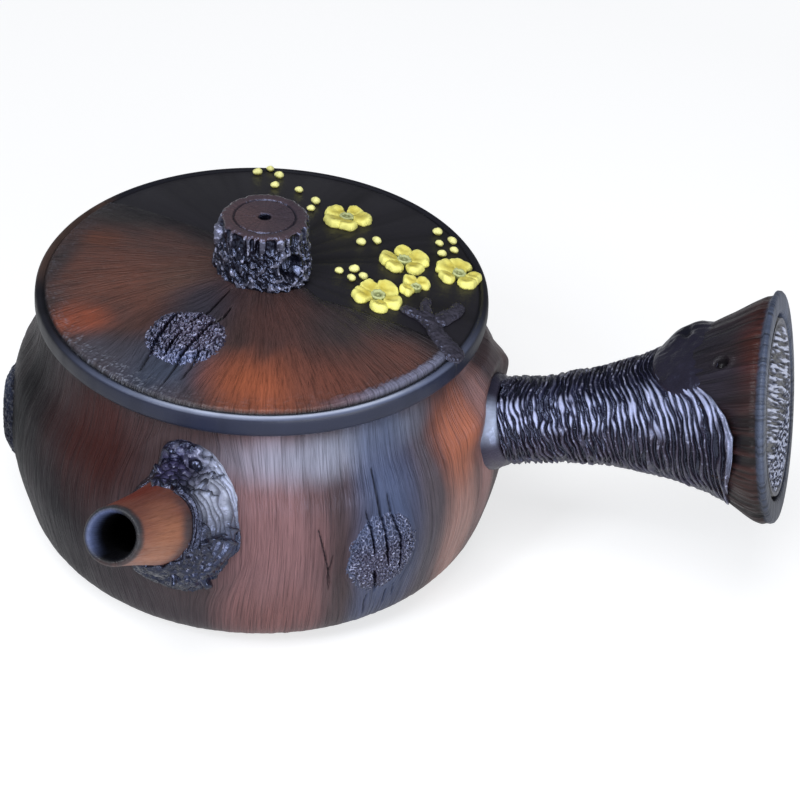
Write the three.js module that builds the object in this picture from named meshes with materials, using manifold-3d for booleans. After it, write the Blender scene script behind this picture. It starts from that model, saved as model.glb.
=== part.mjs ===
import * as THREE from 'three';
import { mergeVertices } from 'three/addons/utils/BufferGeometryUtils.js';
import Module from 'manifold-3d';

// A side-handled clay teapot, modelled to look like carved wood and bark. Millimetres, +Z up.
// The origin is the middle of the flat base, the handle points along +X and the spout along -Y.
// Names that end in share or shares are parts of the size that they follow.

// Clearances
const seatGap = 0.3;
const lidPlay = 0.6;
const overrun = 4;
const weldDistance = 0.001;

// Pot body
const bodyRadius = 59.2;
const bodyHeight = 60;
const bodyWall = 3.5;
const baseThickness = 4;
const bellyShares = [
  [0.748, 0], [0.802, 0.02], [0.913, 0.1], [0.965, 0.25], [1, 0.483], [0.968, 0.7], [0.892, 0.85], [0.853, 1],
];
const bellySteps = 12;
const potSides = 52;

// Spout, its root a drop below the pot's rim, and the strainer behind it
const spoutDrop = 20;
const spoutRise = THREE.MathUtils.degToRad(34);
const spoutLength = 42.5;
const spoutRootRadius = 10.6;
const spoutShares = [[0, 1], [0.25, 0.87], [0.55, 0.74], [0.8, 0.65], [0.95, 0.6], [1, 0.54]];
const spoutMouthRadius = 4.6;
const spoutThroatRadius = 3.8;
const spoutThroatShare = 0.8;
const spoutPassageRadius = 6.5;
const spoutSides = 24;
const strainerRadius = 12;
const strainerWall = 2;
const strainerArcSteps = 5;
const strainerHoleRadius = 1.1;
const strainerHoleSides = 6;
const strainerRows = [[0, 1], [27, 6], [54, 9]];
const strainerSkirtShare = 0.4;

// Bark ring around the spout's root, as half widths across and up
const spoutBarkAcross = 16.5;
const spoutBarkUp = 20;
const spoutBarkHeight = 5.2;
const spoutBarkDrop = 1;
const spoutBarkShares = [
  [0.4, 0], [0.7, 0], [1, 0], [0.98, 0.35], [0.86, 0.8], [0.7, 1], [0.52, 0.85], [0.4, 0.5],
];

// How far the bark climbs the spout, as shares of the spout's root radius and of the climb
const spoutBarkClimb = 15.5;
const spoutBarkClimbShares = [[1.42, 0], [1.28, 0.25], [1.12, 0.55], [1, 0.85], [0.93, 1]];

// Knots on the body: direction in degrees from +X, then height and half height as shares of the body's height,
// and half width and thickness as shares of its radius
const bodyKnotShares = {
  bark_knot_right: [-44.5, 0.475, 0.197, 0.159, 0.034],
  bark_knot_left: [-159, 0.5, 0.19, 0.19, 0.05],
};
const knotShares = [
  [0, 0], [0.5, 0], [0.8, 0], [1, 0], [0.97, 0.4], [0.8, 0.85], [0.55, 1], [0.3, 0.7], [0.12, 0.45], [0, 0.4],
];
const knotSides = 20;

// Handle. Its axis starts on the pot's axis, a drop below the rim, and its places are distances from where it
// comes out of the belly
const handleDrop = 38.3;
const handleRise = THREE.MathUtils.degToRad(17.6);
const handleReach = 65.4;
const handleEndRadius = 25.75;
const handleWall = 3;
const handleNeckRadius = 9;
const handleNeckSunk = 10.7;
const handleFlareStart = 11.3;
const handleFlareShares = [
  [0, 0], [0.16, 0.04], [0.3, 0.1], [0.42, 0.19], [0.53, 0.3], [0.62, 0.41], [0.72, 0.54], [0.82, 0.69],
  [0.91, 0.86], [1, 1],
];
const handleEndTilt = THREE.MathUtils.degToRad(5.9);
const handleSides = 28;
const handleRootRounds = 8;
const handleVentRadius = 0.9;
const handleVentSides = 10;
const handleVentAlong = 56.4;
const handleVentTurn = THREE.MathUtils.degToRad(208);
const endDiscRadius = 20.4;
const endDiscThickness = 3;
const endDiscDish = 0.6;
const rootCollarReach = 3.5;
const rootCollarThickness = 2.4;

// Bark wrap on the handle
const wrapGap = 1;
const wrapMeanEnd = 48.8;
const wrapEndSwing = 9.5;
const wrapFarSide = THREE.MathUtils.degToRad(-75);
const wrapThickness = 0.7;
const wrapRidge = 0.6;
const wrapRidges = 13;
const wrapInnerSteps = 9;
const handleKnotAlong = 46.3;
const handleKnotTurn = THREE.MathUtils.degToRad(165);
const handleKnotHalfLength = 7.6;
const handleKnotHalfWidth = 7.4;
const handleKnotHeight = 2.8;

// Lid
const lidOverhang = 1.5;
const lidBand = 4.6;
const lidRise = 5;
const lidEdge = 0.7;
const lidThickness = 4.4;
const lidVentRadius = 1.4;
const domeSteps = 5;
const flangeWall = 3;
const flangeDepth = 7.5;
const flangeEdge = 0.75;

// Knob, shaped as a tree stump
const knobHeight = 13;
const knobRadius = 10.6;
const knobTopRadius = 9.7;
const knobRingShare = 0.72;
const knobRingWidth = 0.5;
const knobRingDepth = 0.5;
const knobVentRadius = 1.3;
const knobSides = 33;
const knobFlutes = 11;
const knobFluteDepth = 0.7;
const stubSides = 10;
// Stubs of the knob: direction in degrees, height as a share of the knob's, then radius and reach as shares of
// its radius
const knobStubShares = {
  knob_stub_left: [-164, 0.62, 0.302, 0.245],
  knob_stub_right: [-52, 0.36, 0.358, 0.142],
};

// Knot on the lid: direction from +X, distance from the middle as a share of the lid's radius, radius and thickness
const lidKnotTurn = THREE.MathUtils.degToRad(-103.8);
const lidKnotShare = 0.606;
const lidKnotRadius = 9;
const lidKnotHeight = 1.5;

// Blossoms: place from the lid's middle and radius, as shares of the lid's radius, and the first petal's turn
// in degrees
const blossomShares = [
  [0.219, 0.548, 0.121, 10],
  [0.56, 0.302, 0.121, 40],
  [0.808, 0.329, 0.115, 20],
  [0.531, -0.027, 0.115, 65],
  [0.665, 0.115, 0.071, 0],
];
const petals = 5;
const petalHeight = 2.1;
const petalDip = 0.5;
const petalNotchShare = 0.26;
const petalRoundness = 2.5;
const blossomSides = 30;
const stamenShare = 0.19;
const stamenHeight = 1.1;
const petalHollowShare = 0.35;
const petalShares = [
  [0, 0], [0.8, 0], [1, 0.35], [0.93, 0.8], [0.7, 1], [0.42, 0.7],
  [0.3, petalHollowShare], [0, petalHollowShare],
];

// Buds: places from the lid's middle as shares of its radius
const budPlaceShares = [
  [-0.31, 0.865], [-0.267, 0.925], [-0.202, 0.862], [-0.185, 0.742], [-0.063, 0.733], [0.044, 0.644],
  [0.046, 0.565], [0.346, 0.36], [0.406, 0.404], [0.325, 0.083], [0.383, 0.125], [0.39, 0.05],
  [0.435, 0.087], [0.631, 0.646], [0.665, 0.542], [0.712, 0.6], [0.7, 0.458], [0.74, 0.523],
];
const budRadius = 1.15;
const budHeight = 1.3;
const budShares = [[0, 0], [0.85, 0], [1, 0.35], [0.75, 0.8], [0, 1]];
const budSides = 8;

// Branch of the blossoms: half width, then the path from the lid's middle, as shares of the lid's radius
const branchPathShares = [
  [0.0365, [[0.931, -0.275], [0.885, -0.192], [0.835, -0.135], [0.788, -0.069]]],
  [0.0269, [[0.831, -0.138], [0.76, -0.081], [0.677, -0.088]]],
  [0.025, [[0.812, -0.092], [0.858, -0.008], [0.883, 0.081], [0.877, 0.173]]],
  [0.0231, [[0.796, -0.081], [0.746, -0.012], [0.712, 0.062]]],
];
const branchHeight = 1.5;
const branchSteps = 5;
const branchSectionShares = [[-1, 0], [1, 0], [0.7, 0.75], [0, 1], [-0.7, 0.75]];

// Colours and finishes
const bark = { color: 0x2b2733, roughness: 0.38, metalness: 0.1 };
const carved = { color: 0x5a3a32, roughness: 0.55, metalness: 0.05 };
const slate = { color: 0x4a4a55, roughness: 0.45, metalness: 0.05 };
const orangeClay = { color: 0x94583a, roughness: 0.5, metalness: 0.05 };
const smoothBlack = { color: 0x221f26, roughness: 0.45, metalness: 0.05 };
const innerClay = { color: 0x3a3032, roughness: 0.75, metalness: 0 };
const yellowGlaze = { color: 0xe6da55, roughness: 0.5, metalness: 0 };
const greenGlaze = { color: 0xb9c27a, roughness: 0.55, metalness: 0 };
const budGlaze = { color: 0xf0eba0, roughness: 0.5, metalness: 0 };

const quarterTurn = Math.PI / 2;
const wasm = await Module();
wasm.setup();

// The geometry with its corners merged, without the triangles that collapse to a line at a pole.
function weld(geometry) {
  const bare = geometry.clone();
  bare.deleteAttribute('normal');
  bare.deleteAttribute('uv');
  const welded = mergeVertices(bare, weldDistance);
  const corners = welded.index.array;
  const kept = [];
  for (let i = 0; i < corners.length; i += 3) {
    const [a, b, c] = [corners[i], corners[i + 1], corners[i + 2]];
    if (a !== b && b !== c && c !== a) kept.push(a, b, c);
  }
  welded.setIndex(kept);
  welded.computeVertexNormals();
  return welded;
}

function toSolid(geometry) {
  const welded = weld(geometry);
  const vertProperties = new Float32Array(welded.attributes.position.array);
  const triVerts = new Uint32Array(welded.index.array);
  return new wasm.Manifold(new wasm.Mesh({ numProp: 3, vertProperties, triVerts }));
}

function toGeometry(solid) {
  const mesh = solid.getMesh();
  const geometry = new THREE.BufferGeometry();
  geometry.setAttribute('position', new THREE.BufferAttribute(mesh.vertProperties, 3));
  geometry.setIndex(new THREE.BufferAttribute(mesh.triVerts, 1));
  geometry.computeVertexNormals();
  return geometry;
}

// The geometry less each of the cutters, all in one frame.
function cut(geometry, ...cutters) {
  let solid = toSolid(geometry);
  for (const cutter of cutters) solid = solid.subtract(toSolid(cutter));
  return toGeometry(solid);
}

// A solid of revolution about local Z, from [radius, height] points.
function turned(outline, sides) {
  const points = outline.map(([radius, height]) => new THREE.Vector2(radius, height));
  return new THREE.LatheGeometry(points, sides).rotateX(quarterTurn);
}

function turnedRing(outline, sides) {
  return turned([...outline, outline[0]], sides);
}

// Moves each vertex of a geometry to the place that the rule gives for it.
function reshape(geometry, rule) {
  const position = geometry.attributes.position;
  const point = new THREE.Vector3();
  for (let i = 0; i < position.count; i += 1) {
    point.fromBufferAttribute(position, i);
    rule(point);
    position.setXYZ(i, point.x, point.y, point.z);
  }
  return geometry;
}

// The value at a place along a list of [place, value] pairs in rising order.
function along(pairs, place) {
  const last = pairs.length - 1;
  if (place <= pairs[0][0]) return pairs[0][1];
  if (place >= pairs[last][0]) return pairs[last][1];
  const next = pairs.findIndex(([at]) => at > place);
  const [fromPlace, fromValue] = pairs[next - 1];
  const [toPlace, toValue] = pairs[next];
  return fromValue + ((place - fromPlace) / (toPlace - fromPlace)) * (toValue - fromValue);
}

// A geometry made in the pot's frame, seen from a group's own frame.
function seenFrom(frame, geometry) {
  frame.updateMatrix();
  return geometry.clone().applyMatrix4(frame.matrix.clone().invert());
}

const teapot = new THREE.Group();

function addTo(parent, name, geometry, finish) {
  const mesh = new THREE.Mesh(geometry, new THREE.MeshStandardMaterial(finish));
  mesh.name = name;
  parent.add(mesh);
  return mesh;
}

// A rod about local Z, with its middle at the origin.
function rod(radius, length, sides) {
  return new THREE.CylinderGeometry(radius, radius, length, sides).rotateX(quarterTurn);
}

// Belly outline
function bellyOutline() {
  const points = bellyShares.map(([radiusShare, heightShare]) => (
    new THREE.Vector2(bodyRadius * radiusShare, bodyHeight * heightShare)
  ));
  return new THREE.SplineCurve(points).getSpacedPoints(bellySteps).map((point) => [point.x, point.y]);
}

const belly = bellyOutline();
const bellyByHeight = belly.map(([radius, height]) => [height, radius]);
const bellyRadiusAt = (height) => along(bellyByHeight, height);
const [rimRadius] = belly[bellySteps];
const mouthRadius = rimRadius - bodyWall;

// The inside of the pot, which is the belly's outline set in by the wall and squeezed up onto the floor.
function cavityOutline(gap) {
  const depth = bodyHeight - baseThickness - gap;
  return belly.map(([radius, height]) => [
    radius - bodyWall - gap,
    baseThickness + gap + (height / bodyHeight) * depth,
  ]);
}

// The whole space that the belly takes up, grown by a gap, for what is seated on it.
function bellySpace(gap) {
  const [footRadius] = belly[0];
  const grown = belly.map(([radius, height]) => [radius + gap, height]);
  return turned(
    [[0, -overrun], [footRadius + gap, -overrun], ...grown, [rimRadius + gap, bodyHeight + overrun],
      [0, bodyHeight + overrun]],
    potSides,
  );
}

// Frames of the spout and the handle, with local Z along each one's axis
const spoutHeight = bodyHeight - spoutDrop;
const spoutFrame = new THREE.Group();
spoutFrame.position.set(0, -bellyRadiusAt(spoutHeight), spoutHeight);
spoutFrame.rotation.x = quarterTurn - spoutRise;
spoutFrame.updateMatrix();
const handleFrame = new THREE.Group();
handleFrame.position.set(0, 0, bodyHeight - handleDrop);
handleFrame.rotation.y = quarterTurn - handleRise;
teapot.add(spoutFrame, handleFrame);

function potBody() {
  const inside = cavityOutline(0).reverse();
  const shell = turned([[0, 0], ...belly, ...inside, [0, baseThickness]], potSides);
  const reach = bodyWall + spoutPassageRadius + overrun;
  const passage = rod(spoutPassageRadius, 2 * reach, spoutSides).applyMatrix4(spoutFrame.matrix);
  addTo(teapot, 'pot_body', cut(shell, passage), carved);
}

function spoutOutline(gap) {
  const outer = spoutShares.map(([lengthShare, radiusShare]) => [
    spoutRootRadius * radiusShare + gap,
    spoutLength * lengthShare,
  ]);
  return [[spoutRootRadius + gap, -spoutRootRadius], ...outer];
}

function spout() {
  const throat = spoutLength * spoutThroatShare;
  const bore = [
    [spoutMouthRadius, spoutLength],
    [spoutThroatRadius, throat],
    [spoutPassageRadius, 0],
    [spoutPassageRadius, -spoutRootRadius],
  ];
  const cone = turnedRing([...spoutOutline(0), ...bore], spoutSides);
  addTo(spoutFrame, 'spout', cut(cone, seenFrom(spoutFrame, bellySpace(seatGap))), orangeClay);
}

// A domed strainer behind the spout, on the inside of the pot's wall.
function strainer() {
  const inner = strainerRadius - strainerWall;
  const skirt = -strainerRadius * strainerSkirtShare;
  const arc = (radius, from, to) => Array.from({ length: strainerArcSteps + 1 }, (_, i) => {
    const turn = from + ((to - from) * i) / strainerArcSteps;
    return [radius * Math.cos(turn), radius * Math.sin(turn)];
  });
  const dome = arc(strainerRadius, 0, quarterTurn);
  const hollow = arc(inner, quarterTurn, 0);
  const shell = turned([...hollow, [inner, skirt], [strainerRadius, skirt], ...dome], spoutSides);
  const holes = [];
  for (const [lean, count] of strainerRows) {
    for (let i = 0; i < count; i += 1) {
      const hole = rod(strainerHoleRadius, strainerWall + 2 * strainerHoleRadius, strainerHoleSides)
        .translate(0, 0, strainerRadius - strainerWall / 2)
        .rotateX(THREE.MathUtils.degToRad(lean))
        .rotateZ((2 * Math.PI * i) / count);
      holes.push(hole);
    }
  }
  const wallRadius = bellyRadiusAt(spoutHeight) - bodyWall;
  const mesh = addTo(teapot, 'spout_strainer', shell, innerClay);
  mesh.position.set(0, -wallRadius, spoutHeight - bodyWall * Math.tan(spoutRise));
  mesh.rotation.x = -quarterTurn;
  const room = turned([[0, baseThickness + seatGap], ...cavityOutline(seatGap), [0, bodyHeight]], potSides);
  const fitted = toSolid(cut(shell, ...holes)).intersect(toSolid(seenFrom(mesh, room)));
  mesh.geometry = toGeometry(fitted);
}

// Lays a relief, made flat about local Z, onto the belly at the side that faces +X.
function onBelly(flat, height) {
  return reshape(flat, (point) => {
    const turn = point.x / bodyRadius;
    const level = height + point.y;
    const reach = bellyRadiusAt(level) + seatGap + point.z;
    point.set(reach * Math.cos(turn), reach * Math.sin(turn), level);
  });
}

function bodyKnots() {
  for (const [name, shares] of Object.entries(bodyKnotShares)) {
    const [direction, heightShare, upShare, acrossShare, thicknessShare] = shares;
    const bump = turned(knotShares, knotSides)
      .scale(bodyRadius * acrossShare, bodyHeight * upShare, bodyRadius * thicknessShare);
    const knot = addTo(teapot, name, weld(onBelly(bump, bodyHeight * heightShare)), bark);
    knot.rotation.z = THREE.MathUtils.degToRad(direction);
  }
}

function spoutBarkRing() {
  const flat = turnedRing(spoutBarkShares, knotSides).scale(spoutBarkAcross, spoutBarkUp, spoutBarkHeight);
  const draped = onBelly(flat, spoutHeight - spoutBarkDrop);
  const ring = addTo(teapot, 'spout_bark_ring', draped, bark);
  ring.rotation.z = -quarterTurn;
  const climb = spoutBarkClimbShares.map(([radiusShare, climbShare]) => [
    spoutRootRadius * radiusShare,
    spoutBarkClimb * climbShare,
  ]);
  const foot = [[0, -spoutRootRadius], [climb[0][0], -spoutRootRadius]];
  const mound = turned([...foot, ...climb, [0, spoutBarkClimb]], spoutSides).applyMatrix4(spoutFrame.matrix);
  const seated = cut(mound, bellySpace(seatGap));
  const whole = toGeometry(toSolid(draped).add(toSolid(seenFrom(ring, seated))));
  const spoutSpace = turned([[0, -spoutRootRadius], ...spoutOutline(seatGap), [0, spoutLength]], spoutSides)
    .applyMatrix4(spoutFrame.matrix);
  ring.geometry = cut(whole, seenFrom(ring, spoutSpace));
}

// Where the handle's axis comes out of the belly, as a distance along it. Each round works out the belly's
// radius at the height that the round before gave.
function handleRootDistance() {
  let distance = bodyRadius;
  for (let i = 0; i < handleRootRounds; i += 1) {
    const height = handleFrame.position.z + distance * Math.sin(handleRise);
    distance = bellyRadiusAt(height) / Math.cos(handleRise);
  }
  return distance;
}

// Places along the handle's axis, and its bare outline as [distance, radius]
const handleRoot = handleRootDistance();
const handleEnd = handleRoot + handleReach;
const flareStart = handleRoot + handleFlareStart;
const collarEnd = handleRoot + rootCollarReach;
const wrapStart = collarEnd + wrapGap;
const handleOutline = [
  [handleRoot - handleNeckSunk, handleNeckRadius],
  ...handleFlareShares.map(([lengthShare, radiusShare]) => [
    flareStart + (handleEnd - flareStart) * lengthShare,
    handleNeckRadius + (handleEndRadius - handleNeckRadius) * radiusShare,
  ]),
];
const handleRadiusAt = (distance) => along(handleOutline, distance);

// The space beyond the handle's slanting end.
function beyondEnd() {
  const reach = handleEndRadius * 2;
  return new THREE.BoxGeometry(reach * 2, reach * 2, reach)
    .translate(0, 0, reach / 2)
    .rotateY(handleEndTilt)
    .translate(0, 0, handleEnd);
}

function discSpace(gap) {
  const thickness = endDiscThickness + gap;
  return rod(endDiscRadius + gap, thickness + overrun, handleSides)
    .translate(0, 0, (overrun - thickness) / 2)
    .rotateY(handleEndTilt)
    .translate(0, 0, handleEnd);
}

function handleBarrel(body) {
  const stretch = handleEndRadius * Math.tan(handleEndTilt);
  const seatRadius = endDiscRadius - handleWall;
  const seatStart = handleEnd - endDiscThickness - stretch;
  const bore = handleOutline
    .filter(([distance]) => distance < seatStart - endDiscThickness)
    .map(([distance, radius]) => [radius - handleWall, distance])
    .reverse();
  const tube = turnedRing(
    [...handleOutline.map(([distance, radius]) => [radius, distance]), [handleEndRadius, handleEnd + stretch],
      [seatRadius, handleEnd + stretch], [seatRadius, seatStart], ...bore],
    handleSides,
  );
  const vent = rod(handleVentRadius, handleEndRadius * 2, handleVentSides)
    .rotateY(quarterTurn)
    .translate(handleEndRadius, 0, 0)
    .rotateZ(handleVentTurn)
    .translate(0, 0, handleRoot + handleVentAlong);
  addTo(handleFrame, 'handle_barrel', cut(tube, body, beyondEnd(), discSpace(seatGap), vent), carved);
}

function rootCollar(body) {
  const inner = handleNeckRadius + seatGap;
  const outer = inner + rootCollarThickness;
  const edge = rootCollarThickness / 2;
  const band = turnedRing(
    [[inner, handleRoot - handleNeckSunk], [outer, handleRoot - handleNeckSunk], [outer, collarEnd - edge],
      [outer - edge, collarEnd], [inner, collarEnd]],
    handleSides,
  );
  addTo(handleFrame, 'handle_root_collar', cut(band, body), smoothBlack);
}

// Where the wrap ends, at an angle around the handle.
const wrapEndAt = (turn) => handleRoot + wrapMeanEnd + wrapEndSwing * Math.cos(turn - wrapFarSide);

function barkWrap() {
  const rings = wrapRidges * 2;
  const outer = [];
  const inner = [];
  for (let i = 0; i <= rings; i += 1) {
    outer.push([handleNeckRadius + wrapThickness + (i % 2) * wrapRidge, i / rings]);
  }
  for (let i = 0; i <= wrapInnerSteps; i += 1) inner.unshift([handleNeckRadius, i / wrapInnerSteps]);
  const sleeve = turnedRing([...outer, ...inner], handleSides);
  reshape(sleeve, (point) => {
    const turn = Math.atan2(point.y, point.x);
    const lift = Math.hypot(point.x, point.y) - handleNeckRadius;
    const distance = wrapStart + point.z * (wrapEndAt(turn) - wrapStart);
    const radius = handleRadiusAt(distance) + seatGap + lift;
    point.set(radius * Math.cos(turn), radius * Math.sin(turn), distance);
  });
  addTo(handleFrame, 'handle_bark_wrap', weld(sleeve), bark);
}

// A knot on top of the handle, with its underside on the wrap and on the flare.
function handleKnot() {
  const bump = turned(knotShares, knotSides).scale(handleKnotHalfWidth, handleKnotHalfLength, handleKnotHeight);
  const lowest = seatGap + wrapThickness + wrapRidge + seatGap;
  reshape(bump, (point) => {
    const distance = handleRoot + handleKnotAlong + point.y;
    const surface = handleRadiusAt(distance);
    const turn = handleKnotTurn + point.x / surface;
    const radius = surface + lowest + point.z;
    point.set(radius * Math.cos(turn), radius * Math.sin(turn), distance);
  });
  addTo(handleFrame, 'handle_knot', weld(bump), bark);
}

function endDisc() {
  const dishRadius = endDiscRadius - endDiscThickness;
  const disc = turned(
    [[0, -endDiscThickness], [endDiscRadius, -endDiscThickness], [endDiscRadius, 0], [dishRadius, 0],
      [dishRadius - endDiscDish, -endDiscDish], [0, -endDiscDish]],
    handleSides,
  );
  const mesh = addTo(handleFrame, 'handle_end_disc', weld(disc), slate);
  mesh.position.z = handleEnd;
  mesh.rotation.y = handleEndTilt;
}

function handle() {
  const body = seenFrom(handleFrame, bellySpace(seatGap));
  handleBarrel(body);
  rootCollar(body);
  barkWrap();
  handleKnot();
  endDisc();
}

// Lid, in a group that stands on the pot's rim
const lidFrame = new THREE.Group();
lidFrame.position.z = bodyHeight + seatGap;
teapot.add(lidFrame);
const lidRadius = rimRadius + lidOverhang;
const domeHeightAt = (radius) => lidBand + lidRise * (1 - (radius / lidRadius) ** 2);
const flangeRadius = mouthRadius - lidPlay;

function lidPlate() {
  const top = [];
  const under = [];
  const underRadius = flangeRadius - flangeWall;
  for (let i = 0; i <= domeSteps; i += 1) {
    const share = 1 - i / domeSteps;
    const radius = lidVentRadius + (lidRadius - lidEdge - lidVentRadius) * share;
    top.push([radius, domeHeightAt(radius)]);
    const hollow = lidVentRadius + (underRadius - lidVentRadius) * (1 - share);
    under.push([hollow, Math.max(0, domeHeightAt(hollow) - lidThickness)]);
  }
  const side = [[lidRadius - lidEdge, 0], [lidRadius, lidEdge], [lidRadius, lidBand - lidEdge]];
  const plate = turnedRing([...under, [underRadius, 0], ...side, ...top], potSides);
  addTo(lidFrame, 'lid_plate', weld(plate), carved);
}

function lidFlange() {
  const inner = flangeRadius - flangeWall;
  const ring = turnedRing(
    [[inner, -flangeDepth], [flangeRadius - flangeEdge, -flangeDepth], [flangeRadius, flangeEdge - flangeDepth],
      [flangeRadius, -seatGap], [inner, -seatGap]],
    potSides,
  );
  addTo(lidFrame, 'lid_flange', weld(ring), innerClay);
}

const knobBase = domeHeightAt(0) + seatGap;

function knobOutline(gap) {
  const waist = (knobRadius + knobTopRadius) / 2;
  return [[knobRadius + gap, 0], [waist + gap, knobHeight / 2], [knobTopRadius + gap, knobHeight]];
}

function knob() {
  const groove = knobTopRadius * knobRingShare;
  const ring = [[groove + knobRingWidth, knobHeight], [groove, knobHeight - knobRingDepth],
    [groove - knobRingWidth, knobHeight]];
  const stump = turnedRing(
    [[knobVentRadius, 0], ...knobOutline(0), ...ring, [knobVentRadius, knobHeight]],
    knobSides,
  );
  reshape(stump, (point) => {
    const radius = Math.hypot(point.x, point.y);
    if (radius < knobTopRadius - knobRingDepth) return;
    const wave = (1 + Math.cos(knobFlutes * Math.atan2(point.y, point.x))) / 2;
    const drawn = 1 - (knobFluteDepth / radius) * wave;
    point.set(point.x * drawn, point.y * drawn, point.z);
  });
  addTo(lidFrame, 'lid_knob', weld(stump), bark).position.z = knobBase;
}

// Stubs on the knob's side, each cut where it meets the knob.
function stubs() {
  const stumpSpace = turned([[0, 0], ...knobOutline(seatGap), [0, knobHeight]], knobSides)
    .translate(0, 0, knobBase);
  for (const [name, [direction, heightShare, radiusShare, reachShare]] of Object.entries(knobStubShares)) {
    const radius = knobRadius * radiusShare;
    const bump = turned(knotShares, stubSides).scale(radius, radius, knobRadius * (1 + reachShare));
    const stub = addTo(lidFrame, name, bump, bark);
    stub.position.z = knobBase + knobHeight * heightShare;
    stub.rotation.set(quarterTurn, quarterTurn + THREE.MathUtils.degToRad(direction), 0);
    stub.geometry = cut(bump, seenFrom(stub, stumpSpace));
  }
}

// Stands a relief on the lid's dome, leaning with its slope.
function placeOnLid(mesh, x, y) {
  const distance = Math.hypot(x, y);
  const slope = Math.atan((2 * lidRise * distance) / lidRadius ** 2);
  const hinge = new THREE.Vector3(-y, x, 0).normalize();
  mesh.position.set(x, y, domeHeightAt(distance) + seatGap);
  mesh.quaternion.setFromAxisAngle(hinge, slope);
}

function lidKnot() {
  const bump = turned(knotShares, knotSides).scale(lidKnotRadius, lidKnotRadius, lidKnotHeight);
  const mesh = addTo(lidFrame, 'lid_bark_knot', weld(bump), bark);
  const distance = lidRadius * lidKnotShare;
  placeOnLid(mesh, distance * Math.cos(lidKnotTurn), distance * Math.sin(lidKnotTurn));
}

// One blossom, its rim drawn in between the petals.
function blossomShape(radius, firstPetal) {
  const flower = turned(petalShares, blossomSides).scale(radius, radius, petalHeight);
  return reshape(flower, (point) => {
    const turn = Math.atan2(point.y, point.x) - firstPetal;
    const notch = ((1 - Math.cos(petals * turn)) / 2) ** petalRoundness;
    const rim = Math.hypot(point.x, point.y) / radius;
    const drawn = 1 - petalNotchShare * notch * rim;
    point.set(point.x * drawn, point.y * drawn, point.z - (point.z > petalDip ? petalDip * notch * rim : 0));
  });
}

function blossoms() {
  blossomShares.forEach(([xShare, yShare, radiusShare, firstPetal], i) => {
    const radius = lidRadius * radiusShare;
    const flower = blossomShape(radius, THREE.MathUtils.degToRad(firstPetal));
    const mesh = addTo(lidFrame, `blossom_${i + 1}`, weld(flower), yellowGlaze);
    placeOnLid(mesh, lidRadius * xShare, lidRadius * yShare);
    const bead = turned(budShares, budSides).scale(radius * stamenShare, radius * stamenShare, stamenHeight);
    const centre = addTo(mesh, `blossom_centre_${i + 1}`, weld(bead), greenGlaze);
    centre.position.z = petalHeight * petalHollowShare + seatGap;
  });
}

function buds() {
  budPlaceShares.forEach(([xShare, yShare], i) => {
    const bud = turned(budShares, budSides).scale(budRadius, budRadius, budHeight);
    const number = String(i + 1).padStart(2, '0');
    placeOnLid(addTo(lidFrame, `bud_${number}`, weld(bud), budGlaze), lidRadius * xShare, lidRadius * yShare);
  });
}

// One length of the branch: a bar one unit long, bent along its path on the dome.
function branchPiece(halfWidthShare, pathShares) {
  const points = pathShares.map(([xShare, yShare]) => {
    const height = domeHeightAt(lidRadius * Math.hypot(xShare, yShare)) + seatGap;
    return new THREE.Vector3(lidRadius * xShare, lidRadius * yShare, height);
  });
  const path = new THREE.CatmullRomCurve3(points);
  const halfWidth = lidRadius * halfWidthShare;
  const section = branchSectionShares.map(([side, up]) => (
    new THREE.Vector2(side * halfWidth, up * branchHeight)
  ));
  const bar = new THREE.ExtrudeGeometry(new THREE.Shape(section), {
    depth: 1,
    steps: branchSteps,
    bevelEnabled: false,
  });
  return reshape(bar, (point) => {
    const place = path.getPoint(point.z);
    const ahead = path.getTangent(point.z);
    const side = new THREE.Vector3(-ahead.y, ahead.x, 0).normalize();
    place.addScaledVector(side, point.x);
    point.set(place.x, place.y, place.z + point.y);
  });
}

function branch() {
  let solid = null;
  for (const [halfWidthShare, pathShares] of branchPathShares) {
    const piece = toSolid(branchPiece(halfWidthShare, pathShares));
    solid = solid ? solid.add(piece) : piece;
  }
  for (const [xShare, yShare, radiusShare] of blossomShares) {
    const height = domeHeightAt(lidRadius * Math.hypot(xShare, yShare));
    const room = rod(lidRadius * radiusShare + seatGap, 2 * petalHeight, blossomSides)
      .translate(lidRadius * xShare, lidRadius * yShare, height + petalHeight);
    solid = solid.subtract(toSolid(room));
  }
  addTo(lidFrame, 'blossom_branch', toGeometry(solid), bark);
}

potBody();
spout();
strainer();
bodyKnots();
spoutBarkRing();
handle();
lidPlate();
lidFlange();
knob();
stubs();
lidKnot();
blossoms();
buds();
branch();

export default teapot;
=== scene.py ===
import math
from itertools import product

import bpy
import numpy as np
from mathutils import Matrix, Vector


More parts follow.
